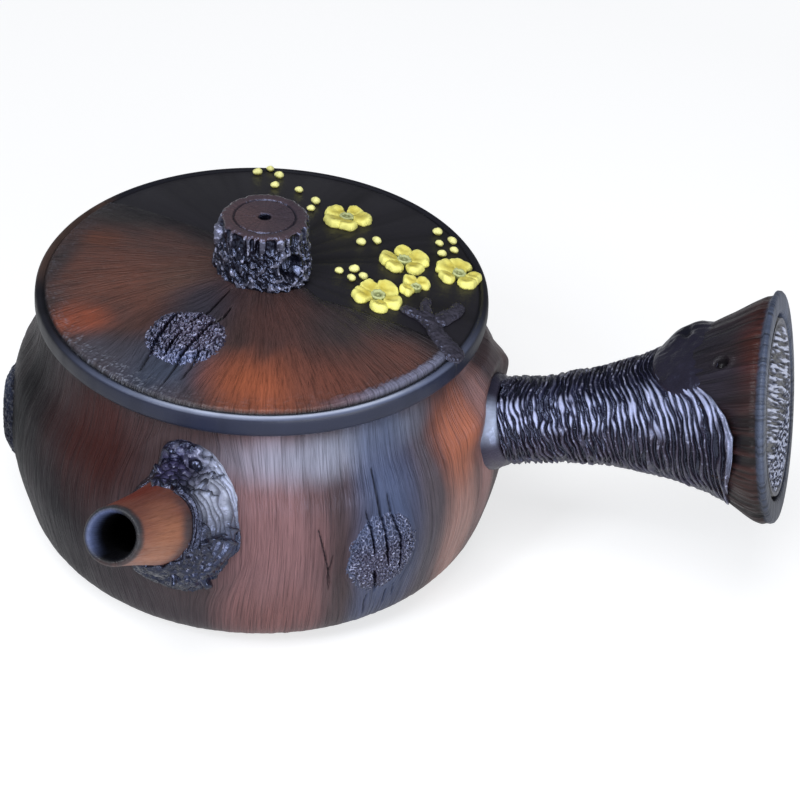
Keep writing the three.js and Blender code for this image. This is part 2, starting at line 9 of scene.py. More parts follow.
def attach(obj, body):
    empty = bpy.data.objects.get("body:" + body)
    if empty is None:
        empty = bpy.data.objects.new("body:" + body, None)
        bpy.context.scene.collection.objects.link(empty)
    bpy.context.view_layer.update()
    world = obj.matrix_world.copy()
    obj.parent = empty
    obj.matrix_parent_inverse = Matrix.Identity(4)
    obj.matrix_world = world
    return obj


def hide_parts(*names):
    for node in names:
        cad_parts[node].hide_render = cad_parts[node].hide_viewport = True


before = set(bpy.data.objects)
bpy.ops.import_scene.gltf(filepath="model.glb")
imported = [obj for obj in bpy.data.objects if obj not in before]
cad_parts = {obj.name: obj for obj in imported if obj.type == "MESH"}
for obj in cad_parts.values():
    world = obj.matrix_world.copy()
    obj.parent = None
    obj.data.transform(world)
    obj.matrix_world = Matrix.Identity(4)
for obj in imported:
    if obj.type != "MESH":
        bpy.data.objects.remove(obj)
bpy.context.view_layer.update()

# A side-handled clay teapot that looks like carved wood and bark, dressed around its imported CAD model.
# Sizes and places are millimetres unless a comment says otherwise, and MM turns them into Blender's metres.
# Colours are written as red, green and blue on a screen, from 0 to 255.

MM = 0.001

# Camera: where it looks, from how far and from which side
CAMERA_TARGET = (32.283, 7.453, 34.359)
CAMERA_DISTANCE = 520
CAMERA_TURN = math.radians(13)
CAMERA_TILT = math.radians(36.679)
CAMERA_ROLL = math.radians(3.96)
CAMERA_LENS = 98.354

# Floor and lamps: how far the floor reaches each way, where the lamps point and from how far
FLOOR_REACH = 4000
LAMP_TARGET = (20, 0, 40)
LAMP_DISTANCE = 900

# Sizes that the CAD model also has
BODY_RADIUS = 59.2
BODY_HEIGHT = 60
BODY_WALL = 3.5
BASE_THICKNESS = 4
BELLY_SHARES = [
    (0.748, 0), (0.802, 0.02), (0.913, 0.1), (0.965, 0.25), (1, 0.483), (0.968, 0.7), (0.892, 0.85),
    (0.853, 1),
]
SPOUT_TURN = math.radians(-90)
SPOUT_HEIGHT = 40
SPOUT_RISE = math.radians(34)
SPOUT_LENGTH = 42.5
SPOUT_OUTLINE = [
    (0, 10.6), (10.6, 8.9), (15.5, 8.3), (23.4, 7.5), (34, 6.6), (39.5, 6.2), (41.3, 6.1), (42.1, 5.7),
]
SPOUT_BORE = [(42.2, 5), (41.6, 4.6), (34, 3.9), (0, 6.4)]
HANDLE_HEIGHT = 21.7
HANDLE_RISE = math.radians(17.6)
HANDLE_END = 126
HANDLE_END_TILT = math.radians(5.9)
HANDLE_OUTLINE = [
    (50, 9), (72, 9), (80.7, 9.67), (88.2, 10.7), (94.7, 12.2), (100.7, 14), (105.5, 15.9), (111, 18.2),
    (116.4, 20.9), (121.2, 23.7), (126, 25.75),
]
VENT_ALONG = 117.1
VENT_TURN = math.radians(28)
LID_UNDERSIDE = 60.3
LID_RADIUS = 52
LID_BAND = 4.6
LID_RISE = 5
LID_VENT = 1.4
LID_THICKNESS = 4.4
FLANGE_INNER_RADIUS = 43.4
KNOB_RADIUS = 10.6
KNOB_TOP_RADIUS = 9.7
KNOB_VENT = 1.3
KNOB_BASE = LID_UNDERSIDE + LID_BAND + LID_RISE

# How deep the cracks in carved clay go, and how deep the reliefs on it are bedded
CRACK_DEPTH = 0.8
BEDDING = 0.8

# Noise: one shuffled table and one set of slopes serve every use, so that each run gives the same result
random = np.random.default_rng(11)
SHUFFLE = random.permutation(256)
SLOPES = random.normal(size=(256, 3))
SLOPES /= np.linalg.norm(SLOPES, axis=1)[:, None]


def shuffled(cell, seed):
    """A number from 0 to 255 for each cell of a lattice."""
    key = SHUFFLE[(cell[..., 0] + seed) & 255]
    key = SHUFFLE[(key + cell[..., 1]) & 255]
    return SHUFFLE[(key + cell[..., 2]) & 255]


def noise(points, seed=0):
    """Smooth noise from about -1 to 1, with humps about one unit across."""
    cell = np.floor(points).astype(int)
    local = points - cell
    fade = local * local * local * (local * (local * 6 - 15) + 10)
    total = np.zeros(points.shape[:-1])
    for corner in product((0, 1), repeat=3):
        share = np.prod(np.where(corner, fade, 1 - fade), axis=-1)
        total += share * np.sum(SLOPES[shuffled(cell + corner, seed)] * (local - corner), axis=-1)
    return 1.7 * total


def layered(points, layers, seed=0):
    """Noise with finer and weaker noise on top."""
    total = np.zeros(points.shape[:-1])
    for layer in range(layers):
        total += noise(points * 2**layer, seed + layer) / 2**layer
    return total


def cell_distances(points, seed):
    """Distance to the nearest and the second nearest of scattered points, about one to each unit cell."""
    cell = np.floor(points).astype(int)
    nearest = np.full(points.shape[:-1], 9.0)
    second = nearest.copy()
    for offset in product((-1, 0, 1), repeat=3):
        near = cell + offset
        spot = near + 0.5 + 0.42 * SLOPES[shuffled(near, seed)]
        distance = np.linalg.norm(points - spot, axis=-1)
        second = np.minimum(second, np.maximum(nearest, distance))
        nearest = np.minimum(nearest, distance)
    return nearest, second


def smooth(low, high, value):
    """0 below low, 1 above high, and a soft step between them. It falls if low is above high."""
    share = np.clip((value - low) / (high - low), 0, 1)
    return share * share * (3 - 2 * share)


def spline(points, count):
    """That many points on a smooth curve through the given ones."""
    points = np.asarray(points, float)
    padded = np.vstack([points[:1], points, points[-1:]])
    place = np.linspace(0, len(points) - 1, count)
    start = np.minimum(place.astype(int), len(points) - 2)
    t = (place - start)[:, None]
    before, a, b, after = padded[start], padded[start + 1], padded[start + 2], padded[start + 3]
    out, into = (b - before) / 2, (after - a) / 2
    return (2 * a - 2 * b + out + into) * t**3 + (3 * b - 3 * a - 2 * out - into) * t**2 + out * t + a


def evenly(points, step):
    """Points about a step apart along a path of straight pieces."""
    points = np.asarray(points, float)
    lengths = np.linalg.norm(np.diff(points, axis=0), axis=1)
    travelled = np.concatenate([[0], np.cumsum(lengths)])
    places = np.linspace(0, travelled[-1], max(2, round(travelled[-1] / step) + 1))
    return np.stack([np.interp(places, travelled, points[:, k]) for k in range(points.shape[1])], axis=1)


def path_distance(x, y, path):
    """Distance of each place from a path, and how far along the path it is, from 0 to 1."""
    best = np.full(np.shape(x), 1e9)
    share = np.zeros(np.shape(x))
    pieces = len(path) - 1
    for i in range(pieces):
        (ax, ay), (bx, by) = path[i], path[i + 1]
        dx, dy = bx - ax, by - ay
        t = np.clip(((x - ax) * dx + (y - ay) * dy) / (dx * dx + dy * dy), 0, 1)
        distance = np.hypot(x - ax - t * dx, y - ay - t * dy)
        share = np.where(distance < best, (i + t) / pieces, share)
        best = np.minimum(best, distance)
    return best, share


def cracked(x, y, cracks):
    """Depth from 0 to 1 inside cracks, each a width and a path, thin at its ends."""
    depth = np.zeros(np.shape(x))
    for width, path in cracks:
        distance, share = path_distance(x, y, path)
        taper = np.clip(4 * share * (1 - share), 0, 1) ** 0.4
        inside = smooth(width * (0.35 + taper), 0.15 * width, distance)
        depth = np.maximum(depth, inside * smooth(0, 0.12, taper))
    return depth


def worms(points, seed):
    """A maze of short rounded ridges, 0 in its grooves and 1 on its ridges."""
    shifts = stacked(*(noise(points * 0.9, seed + 5 + k) for k in range(3)))
    return smooth(-0.32, 0.3, noise(points + 0.35 * shifts, seed))


def stacked(*values):
    """Points from their coordinates, which are numbers or arrays of matching shapes."""
    return np.stack(np.broadcast_arrays(*values), axis=-1)


def wrapped(turn):
    """An angle as the same one within half a turn either way."""
    return (turn + math.pi) % (2 * math.pi) - math.pi


def oval(turn, ahead, beside):
    """Distance from an oval's middle to its edge, from its half sizes at no turn and at a quarter turn."""
    return ahead * beside / np.hypot(beside * np.cos(turn), ahead * np.sin(turn))


def linear(colour):
    """A screen colour as the linear light that Blender works in."""
    share = np.asarray(colour, float) / 255
    return np.where(share <= 0.04045, share / 12.92, ((share + 0.055) / 1.055) ** 2.4)


def blended(tint, share, colour):
    """A tint with that share of a screen colour in it."""
    return tint + share[..., None] * (linear(colour) - tint)


def painted(x, y, base, patches, ragged=0, wrap=None):
    """Colours over a surface: a base, and patches with soft ragged edges over it.

    A patch is its middle across and up, its half sizes, a colour and a strength."""
    tint = linear(base)
    for across, up, half_across, half_up, colour, strength in patches:
        away = x - across
        if wrap:
            away = (away + wrap / 2) % wrap - wrap / 2
        distance = np.hypot(away / half_across, (y - up) / half_up) + 0.22 * ragged
        tint = blended(tint, strength * smooth(1.35, 0.15, distance), colour)
    return tint


# Meshes

def shell_mesh(name, points, looped):
    """A closed mesh from rows of points around it. Looped rows close into a ring, others end in points."""
    rows, columns = points.shape[:2]
    if looped:
        vertices = points.reshape(-1, 3)
        index = np.arange(rows * columns).reshape(rows, columns)
        index = np.vstack([index, index[:1]])
        fans = []
    else:
        vertices = np.vstack([points[0, :1], points[1:-1].reshape(-1, 3), points[-1, :1]])
        index = 1 + np.arange((rows - 2) * columns).reshape(rows - 2, columns)
        first, last = np.zeros(columns, int), np.full(columns, len(vertices) - 1)
        fans = [
            np.stack([first, np.roll(index[0], -1), index[0]], axis=1),
            np.stack([index[-1], np.roll(index[-1], -1), last], axis=1),
        ]
    beside = np.roll(index, -1, axis=1)
    quads = np.stack([index[:-1], beside[:-1], beside[1:], index[1:]], axis=-1).reshape(-1, 4)
    faces = [tuple(face) for face in quads.tolist()]
    for fan in fans:
        faces += [tuple(face) for face in fan.tolist()]
    mesh = bpy.data.meshes.new(name)
    mesh.from_pydata((vertices * MM).tolist(), [], faces)
    mesh.shade_smooth()
    return mesh


def point_values(values, looped):
    """Values over a grid of points, in the order of shell_mesh's vertices."""
    flat = values.reshape(values.shape[0], values.shape[1], -1)
    if looped:
        return flat.reshape(-1, flat.shape[-1])
    return np.vstack([flat[0, :1], flat[1:-1].reshape(-1, flat.shape[-1]), flat[-1, :1]])


def normals(points, looped):
    """Outward directions at the points of a grid."""
    across = np.roll(points, -1, axis=1) - np.roll(points, 1, axis=1)
    if looped:
        up = np.roll(points, -1, axis=0) - np.roll(points, 1, axis=0)
    else:
        up = np.gradient(points, axis=0)
    outward = np.cross(across, up)
    return outward / np.maximum(np.linalg.norm(outward, axis=-1), 1e-9)[..., None]


def swollen(points, height, looped):
    """Points moved out along the surface's own directions."""
    return points + normals(points, looped) * height[..., None]


def placed(name, data):
    """A new object in the scene."""
    made = bpy.data.objects.new(name, data)
    bpy.context.scene.collection.objects.link(made)
    return made


def shell(name, points, tint, grain, relief, looped=False):
    """A piece from a grid of points, with its colours, its grain's coordinates and its relief's heights,
    which the materials turn into painted shade in pits and painted highlights on ridges.
    """
    mesh = shell_mesh(name, points, looped)
    opaque = np.concatenate([np.broadcast_to(tint, points.shape), np.ones((*points.shape[:2], 1))], axis=-1)
    layers = (
        ("tint", "FLOAT_COLOR", "color", opaque),
        ("grain", "FLOAT_VECTOR", "vector", grain),
        ("relief", "FLOAT", "value", np.broadcast_to(relief, points.shape[:2])),
    )
    for key, kind, field, values in layers:
        attribute = mesh.attributes.new(key, kind, "POINT")
        attribute.data.foreach_set(field, point_values(values, looped).ravel())
    return placed(name, mesh)


def joined(name, pieces):
    """One object from several."""
    bpy.ops.object.select_all(action="DESELECT")
    for piece in pieces:
        piece.select_set(True)
    bpy.context.view_layer.objects.active = pieces[0]
    bpy.ops.object.join()
    pieces[0].name = name
    pieces[0].data.name = name
    return pieces[0]


def cover(piece, material):
    piece.data.materials.clear()
    piece.data.materials.append(material)


def dress(piece, body, slot, material, *nodes):
    """Gives a piece its material and its body, and hides the CAD nodes that it stands for. Its slot is not
    used.
    """
    cover(piece, material)
    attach(piece, body)
    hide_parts(*nodes)


def turns(columns):
    """Angles all the way round, evenly spaced."""
    return np.arange(columns) * 2 * math.pi / columns


def spaced(*stretches):
    """Angles round a piece, from stretches of degrees that each have a start, an end and a step."""
    return np.radians(np.concatenate([np.arange(*stretch) for stretch in stretches]))


def lathe(*stretches):
    """The two coordinates of an outline's points and the number of each point's stretch, as columns."""
    outline = np.vstack(stretches)
    numbers = np.repeat(np.arange(len(stretches)), [len(stretch) for stretch in stretches])
    return outline[:, :1], outline[:, 1:], numbers[:, None]


def ringed(radius, turn, along):
    """Points around an axis. As a grain's coordinates they give streaks along it, without a seam."""
    return stacked(radius * np.cos(turn), radius * np.sin(turn), along)


# Surfaces that reliefs are laid on. Each turns flat places and a height above it into points.

BELLY = spline([(BODY_RADIUS * r, BODY_HEIGHT * z) for r, z in BELLY_SHARES], 120)


def belly_radius(height):
    return np.interp(height, BELLY[:, 1], BELLY[:, 0])


def on_belly(turn, level, lift):
    return ringed(belly_radius(level) + lift, turn, level)


def dome_height(radius):
    return LID_BAND + LID_RISE * (1 - (radius / LID_RADIUS) ** 2)


def on_dome(x, y, lift):
    return stacked(x, y, LID_UNDERSIDE + dome_height(np.hypot(x, y)) + lift)


def around_axis(root, axis, up, side, along, turn, radius):
    """Points around an axis. A turn is measured from up towards side."""
    along, turn, radius = (value[..., None] for value in np.broadcast_arrays(along, turn, radius))
    return root + along * axis + radius * (np.cos(turn) * up + np.sin(turn) * side)


HANDLE_ROOT = np.array([0, 0, HANDLE_HEIGHT])
HANDLE_AXIS = np.array([math.cos(HANDLE_RISE), 0, math.sin(HANDLE_RISE)])
HANDLE_UP = np.array([-math.sin(HANDLE_RISE), 0, math.cos(HANDLE_RISE)])
HANDLE_CURVE = spline(HANDLE_OUTLINE, 120)
TOWARDS_SPOUT = np.array([0, -1, 0])


def handle_radius(along):
    return np.interp(along, HANDLE_CURVE[:, 0], HANDLE_CURVE[:, 1])


def around_handle(along, turn, radius):
    """Points around the handle's axis. A turn is measured from its top towards the spout's side."""
    return around_axis(HANDLE_ROOT, HANDLE_AXIS, HANDLE_UP, TOWARDS_SPOUT, along, turn, radius)


SPOUT_ROOT = np.array([0, -float(belly_radius(SPOUT_HEIGHT)), SPOUT_HEIGHT])
SPOUT_AXIS = np.array([0, -math.cos(SPOUT_RISE), math.sin(SPOUT_RISE)])
SPOUT_UP = np.array([0, math.sin(SPOUT_RISE), math.cos(SPOUT_RISE)])
TOWARDS_LEFT = np.array([-1, 0, 0])


def around_spout(along, turn, radius):
    """Points around the spout's axis. A turn is measured from its top, away from the handle."""
    return around_axis(SPOUT_ROOT, SPOUT_AXIS, SPOUT_UP, TOWARDS_LEFT, along, turn, radius)


# Materials

def new_material(name):
    material = bpy.data.materials.new(name)
    material.use_nodes = True
    tree = material.node_tree
    tree.nodes.clear()
    return material, tree


def node(tree, kind, inputs=None, **settings):
    """A node with its settings, and with each input set or linked."""
    made = tree.nodes.new(kind)
    for key, value in settings.items():
        setattr(made, key, value)
    for key, value in (inputs or {}).items():
        if isinstance(value, bpy.types.NodeSocket):
            tree.links.new(value, made.inputs[key])
        else:
            made.inputs[key].default_value = value
    return made


def maths(tree, operation, a, b):
    return node(tree, "ShaderNodeMath", {0: a, 1: b}, operation=operation).outputs[0]


def stored(tree, name, output):
    """A value that the mesh holds at each point."""
    return node(tree, "ShaderNodeAttribute", attribute_name=name).outputs[output]


def ranged(tree, value, low, high, to_low, to_high):
    """A value from one range, clamped, as the same share of another."""
    inputs = {"Value": value, "From Min": low, "From Max": high, "To Min": to_low, "To Max": to_high}
    return node(tree, "ShaderNodeMapRange", inputs).outputs["Result"]


def mixed(tree, share, a, b):
    """Two colours mixed. Each is a socket or a screen colour."""
    made = node(tree, "ShaderNodeMix", {"Factor": share}, data_type="RGBA")
    colour_sockets = [socket for socket in made.inputs if socket.type == "RGBA"]
    for socket, value in zip(colour_sockets, (a, b)):
        if isinstance(value, bpy.types.NodeSocket):
            tree.links.new(value, socket)
        else:
            socket.default_value = (*linear(value), 1)
    return next(socket for socket in made.outputs if socket.type == "RGBA")


def streaks(tree, vector, across, along, detail):
    """Noise drawn out along the grain. across and along are how many humps fit in a millimetre."""
    inputs = {0: vector, 1: (across, across, along)}
    stretch = node(tree, "ShaderNodeVectorMath", inputs, operation="MULTIPLY")
    inputs = {"Vector": stretch.outputs[0], "Scale": 1.0, "Detail": detail, "Roughness": 0.6}
    return node(tree, "ShaderNodeTexNoise", inputs).outputs["Fac"]


def speckled(tree, scale, detail):
    """Noise without a direction. scale is how many humps fit in a metre."""
    place = node(tree, "ShaderNodeTexCoord").outputs["Object"]
    inputs = {"Vector": place, "Scale": scale, "Detail": detail, "Roughness": 0.65}
    return node(tree, "ShaderNodeTexNoise", inputs).outputs["Fac"]


def surface(tree, colour, roughness, height, strength, depth):
    """The inputs of the shader that ends a material. Its bump is about depth high."""
    inputs = {"Height": height, "Strength": strength, "Distance": depth * MM}
    bump = node(tree, "ShaderNodeBump", inputs).outputs["Normal"]
    inputs = {"Base Color": colour, "Roughness": roughness, "Normal": bump}
    shader = node(tree, "ShaderNodeBsdfPrincipled", inputs)
    node(tree, "ShaderNodeOutputMaterial", {"Surface": shader.outputs[0]})
    return shader.inputs


def clay(
    name, *, roughness, gloss, hair, depth, fine, flow, pit_shade_colour, highlight_colour, highlight_share,
    glints=0.0, sheen=None, dull=1.0,
):
    """Clay with the colours, grain and relief of its mesh.

    hair is how dark its hairlines are and depth how deep, fine how many fit across a millimetre and flow
    along it. Pits take one colour, a painted shade, and ridges another, a painted highlight, and the specks'
    share is how much of that highlight shows in small bright specks, which are painted glints. sheen tints
    what it reflects, and dull is the share of its gloss that black clay keeps."""
    material, tree = new_material(name)
    tint = stored(tree, "tint", "Color")
    grain = stored(tree, "grain", "Vector")
    relief = stored(tree, "relief", "Fac")
    broad = streaks(tree, grain, 0.25, flow * 0.2, 3.0)
    lines = streaks(tree, grain, fine, flow, 2.0)
    hairs = streaks(tree, grain, fine * 2, flow * 2.4, 2.0)
    tone = ranged(tree, broad, 0.3, 0.7, 0.86, 1.14)
    tone = maths(tree, "MULTIPLY", tone, ranged(tree, lines, 0.34, 0.47, 1 - hair, 1.0))
    tone = maths(tree, "MULTIPLY", tone, ranged(tree, hairs, 0.36, 0.47, 1 - hair * 0.7, 1.0))
    tone = maths(tree, "MULTIPLY", tone, ranged(tree, lines, 0.55, 0.7, 1.0, 1 + hair * 0.5))
    shaded = node(tree, "ShaderNodeVectorMath", {0: tint, "Scale": tone}, operation="SCALE").outputs[0]
    # Painted shade in the pits and painted highlight on the ridges, both driven by the mesh's relief
    pit_shaded = mixed(tree, ranged(tree, relief, 0.05, 0.5, 0.9, 0.0), shaded, pit_shade_colour)
    shaded_and_lit = mixed(tree, ranged(tree, relief, 0.65, 1.0, 0.0, highlight_share), pit_shaded, highlight_colour)
    # Painted glints: bright specks of the highlight colour on raised places
    if glints:
        raised = ranged(tree, relief, 0.45, 0.75, 0.0, glints)
        sparkle = ranged(tree, speckled(tree, 950.0, 2.0), 0.56, 0.64, 0.0, 1.0)
        shaded_and_lit = mixed(tree, maths(tree, "MULTIPLY", raised, sparkle), shaded_and_lit, highlight_colour)
    rough = ranged(tree, hairs, 0.3, 0.7, roughness + 0.12, roughness - 0.08)
    height = ranged(tree, lines, 0.3, 0.55, 0.0, 1.0)
    height = maths(tree, "ADD", height, ranged(tree, hairs, 0.3, 0.55, 0.0, 0.6))
    height = maths(tree, "ADD", height, maths(tree, "MULTIPLY", speckled(tree, 2200.0, 3.0), 0.4))
    shader = surface(tree, shaded_and_lit, rough, height, 1.0, depth)
    shader["Specular IOR Level"].default_value = gloss
    if dull < 1:
        tree.links.new(ranged(tree, tint, 0.004, 0.035, gloss * dull, gloss), shader["Specular IOR Level"])
    if sheen:
        shader["Specular Tint"].default_value = (*linear(sheen), 1)
    return material


def glaze(name, colour, crease_shade_colour, roughness):
    """A smooth coloured glaze, darker in its creases and lighter on its raised rims: a painted shade and a
    painted highlight from its relief, with faint mottling.
    """
    material, tree = new_material(name)
    mottle = speckled(tree, 420.0, 4.0)
    share = maths(tree, "ADD", stored(tree, "relief", "Fac"), ranged(tree, mottle, 0.3, 0.7, -0.18, 0.18))
    tint = mixed(tree, ranged(tree, share, 0.1, 0.85, 0.0, 1.0), crease_shade_colour, colour)
    rough = ranged(tree, mottle, 0.3, 0.7, roughness + 0.08, roughness - 0.05)
    surface(tree, tint, rough, mottle, 0.4, 0.2)["Specular IOR Level"].default_value = 0.35
    return material


def bare_clay(name, colour, spot_colour):
    """The plain unpolished clay of the inside."""
    material, tree = new_material(name)
    grit = speckled(tree, 1800.0, 3.0)
    tint = mixed(tree, ranged(tree, speckled(tree, 90.0, 6.0), 0.35, 0.65, 0.0, 1.0), colour, spot_colour)
    surface(tree, tint, ranged(tree, grit, 0.3, 0.7, 0.7, 0.85), grit, 0.5, 0.15)
    return material


BLUE_SHEEN = (196, 208, 255)

# In each clay, the pit colour is a painted shade and the top colour a painted highlight. The bark's specks
# are painted glints.
CARVED = clay(
    "carved_clay", roughness=0.36, gloss=0.35, hair=0.34, depth=0.1, fine=2.6, flow=0.06,
    pit_shade_colour=(12, 11, 15), highlight_colour=(120, 112, 116), highlight_share=0.1, sheen=(214, 222, 255), dull=0.12,
)
LID_CARVED = clay(
    "lid_carved_clay", roughness=0.4, gloss=0.35, hair=0.3, depth=0.12, fine=2.6, flow=0.13,
    pit_shade_colour=(11, 10, 15), highlight_colour=(150, 152, 168), highlight_share=0.5,
)
ORANGE = clay(
    "orange_clay", roughness=0.45, gloss=0.35, hair=0.15, depth=0.05, fine=1.3, flow=0.1,
    pit_shade_colour=(20, 17, 22), highlight_colour=(170, 130, 105), highlight_share=0.1,
)
BARK = clay(
    "bark_clay", roughness=0.17, gloss=0.9, hair=0.15, depth=0.04, fine=1.5, flow=0.6,
    pit_shade_colour=(6, 6, 11), highlight_colour=(198, 200, 230), highlight_share=0.18, glints=0.55, sheen=BLUE_SHEEN,
)
FLUTED = clay(
    "fluted_clay", roughness=0.4, gloss=0.35, hair=0.5, depth=0.14, fine=1.3, flow=0.03,
    pit_shade_colour=(8, 7, 10), highlight_colour=(100, 84, 84), highlight_share=0.06,
)
SLATE = clay(
    "slate_clay", roughness=0.3, gloss=0.5, hair=0.15, depth=0.05, fine=0.8, flow=0.3,
    pit_shade_colour=(10, 9, 16), highlight_colour=(205, 211, 236), highlight_share=0.95,
)
GLOSS_BLACK = clay(
    "smooth_clay", roughness=0.26, gloss=0.5, hair=0.08, depth=0.03, fine=0.6, flow=0.3,
    pit_shade_colour=(12, 11, 15), highlight_colour=(120, 122, 136), highlight_share=0.1, sheen=BLUE_SHEEN,
)
INNER = bare_clay("inner_clay", (58, 47, 45), (46, 38, 38))
YELLOW = glaze("yellow_glaze", (250, 244, 138), (196, 176, 58), 0.5)
GREEN = glaze("green_glaze", (190, 196, 140), (126, 130, 78), 0.5)
BUD = glaze("bud_glaze", (244, 240, 158), (200, 190, 96), 0.42)


# Pot body

# Knots of the body: the turn and the height of the middle, and the half sizes across and up
RIGHT_KNOT = (math.radians(-44.5), 28.5, 9.4, 11.8)
LEFT_KNOT = (math.radians(-159), 30, 11.2, 11.4)
SPOUT_KNOT = (SPOUT_TURN, 39, 16.5, 20)

# Cracks that run through the right knot, as a width and a path from its middle
RIGHT_CRACKS = [
    (0.34, [(-0.9, 20.9), (-0.9, 16.4), (-0.6, 11.8), (0.2, 5.3), (1.1, -3.2)]),
    (0.28, [(-4.1, 13), (-3.2, 7.6), (-2.6, 1.7)]),
    (0.32, [(1.7, 15.2), (2.3, 9.7), (4, 3.9), (4.3, -5.7)]),
    (0.4, [(-2.4, -3), (-1.5, -7.7), (-0.6, -11.6)]),
    (0.22, [(-2.5, -12.2), (-2.8, -14.9), (-2.3, -19)]),
    (0.2, [(2.7, -12.5), (2.7, -17.8)]),
    (0.2, [(4.5, -11.4), (5, -15.8)]),
    (0.2, [(-15.4, 10.5), (-14.6, 6.8), (-13.5, 1.5), (-12.4, -5)]),
    (0.16, [(-12, 4), (-13.2, -2.4), (-12.6, -7)]),
]

# Colour patches of the body: direction in degrees and height of the middle, half sizes, colour and strength
BODY_PATCHES = [
    (-150, 34, 34, 45, (18, 17, 19), 1),
    (-122, 25, 14, 45, (26, 23, 26), 0.9),
    (-114, 50, 17, 17, (64, 31, 25), 1),
    (-106, 14, 14, 18, (40, 33, 36), 0.85),
    (-92, 9, 18, 10, (58, 47, 49), 0.8),
    (-70, 26, 14, 42, (136, 100, 100), 1),
    (-70, 12, 13, 12, (128, 80, 72), 0.6),
    # The next two patches, pale blue under the lid at the front right, are a painted sheen
    (-60, 54, 24, 6, (150, 154, 172), 0.75),
    (-40, 56, 14, 5, (122, 130, 148), 0.7),
    (-42, 30, 11, 46, (70, 80, 108), 1),
    (-30, 30, 5, 34, (86, 80, 86), 0.7),
    (-20, 22, 8, 28, (172, 131, 120), 0.9),
    (-20, 47, 8.5, 12, (168, 98, 68), 0.85),
    (-9, 36, 5, 28, (166, 124, 118), 0.8),
    (14, 44, 9, 16, (104, 72, 62), 0.7),
    (22, 26, 12, 24, (72, 56, 54), 0.8),
    (44, 34, 14, 34, (54, 44, 46), 0.8),
    (68, 44, 12, 13, (94, 56, 44), 0.75),
    (84, 20, 14, 22, (52, 51, 60), 0.8),
    (112, 36, 15, 26, (80, 56, 52), 0.8),
    (142, 24, 14, 24, (40, 36, 40), 0.8),
    (170, 46, 10, 12, (82, 48, 38), 0.7),
]


def parted(turn, level):
    """The turn of the body's grain, which parts a little around its knots."""
    moved = turn
    for middle, height, half_across, half_up in (RIGHT_KNOT, LEFT_KNOT, SPOUT_KNOT):
        away = wrapped(turn - middle)
        x = away * BODY_RADIUS / half_across
        y = (level - height) / half_up
        moved = moved - away * 0.28 / np.maximum(x * x + y * y, 1.0) ** 2
    return moved


def root_mound(points):
    """How far the body swells out around the upper side of the handle's root."""
    offset = points - HANDLE_ROOT
    up = offset @ HANDLE_UP
    away = np.hypot(up, offset[..., 1])
    mound = 5 * smooth(26, 9, away) - 3.4 * smooth(15, 9, away)
    return mound * smooth(1, 9, up) * (offset[..., 0] > 0)


def pot_body():
    # The columns are closest together where the right knot's cracks are
    turn = spaced((-64, -54, 0.22), (-54, -51, 0.4), (-51, -38, 0.22), (-38, -30, 0.5), (-30, 296, 0.72))
    outer = evenly(BELLY, 0.6)
    brim = outer[-1, 0]
    inside = [
        (r - BODY_WALL, BASE_THICKNESS + z / BODY_HEIGHT * (BODY_HEIGHT - BASE_THICKNESS)) for r, z in BELLY
    ]
    base = evenly([(0, 0), (outer[0, 0] - 0.6, 0)], 4)
    outer_edge, inner_edge = [(brim - 0.5, BODY_HEIGHT)], [(brim - BODY_WALL + 0.5, BODY_HEIGHT)]
    hollow = evenly(inside[::-1], 3)
    floor = evenly([inside[0], (0, BASE_THICKNESS)], 4)[1:]
    radius, level, part = lathe(base, outer, outer_edge, inner_edge, hollow, floor)
    points = ringed(radius, turn, level)
    carved = (part == 1) * smooth(0, 2.5, level) * smooth(BODY_HEIGHT, BODY_HEIGHT - 1.5, level)
    grain = ringed(BODY_RADIUS, parted(turn, level), level)
    middle, height = RIGHT_KNOT[:2]
    crack = cracked(wrapped(turn - middle) * BODY_RADIUS, level - height, RIGHT_CRACKS) * carved
    grooves = 0.06 * layered(grain * (0.4, 0.4, 0.04), 2, 3) + 0.09 * noise(grain * (0.95, 0.95, 0.09), 9)
    lift = grooves - 0.2 - CRACK_DEPTH * crack + root_mound(points) * smooth(59, 56, level)
    points = swollen(points, lift * carved, False)
    ragged = layered(grain * (0.12, 0.12, 0.03), 3, 21)
    tint = painted(np.degrees(turn), level, (68, 52, 51), BODY_PATCHES, ragged, wrap=360)
    tint = np.where((part <= 2)[..., None], tint, linear((50, 41, 40)))
    # Relief gives the cracks a painted shade
    piece = shell("pot_shell", points, tint, grain, 0.55 - 0.55 * crack)
    dress(piece, "pot", "carved_clay", CARVED, "pot_body")


# Bark knots

def polar_relief(outline, rows, columns):
    """Flat places of a relief with its edge at outline(turn): its underside, then its top from the edge in.

    With them come the share of the way to the edge and whether it is the top, as columns."""
    turn = turns(columns)
    share = np.concatenate([np.linspace(0, 1, 3), np.linspace(1, 0, rows)[1:]])[:, None]
    radius = outline(turn) * share
    return radius * np.cos(turn), radius * np.sin(turn), share, np.arange(len(share))[:, None] >= 2


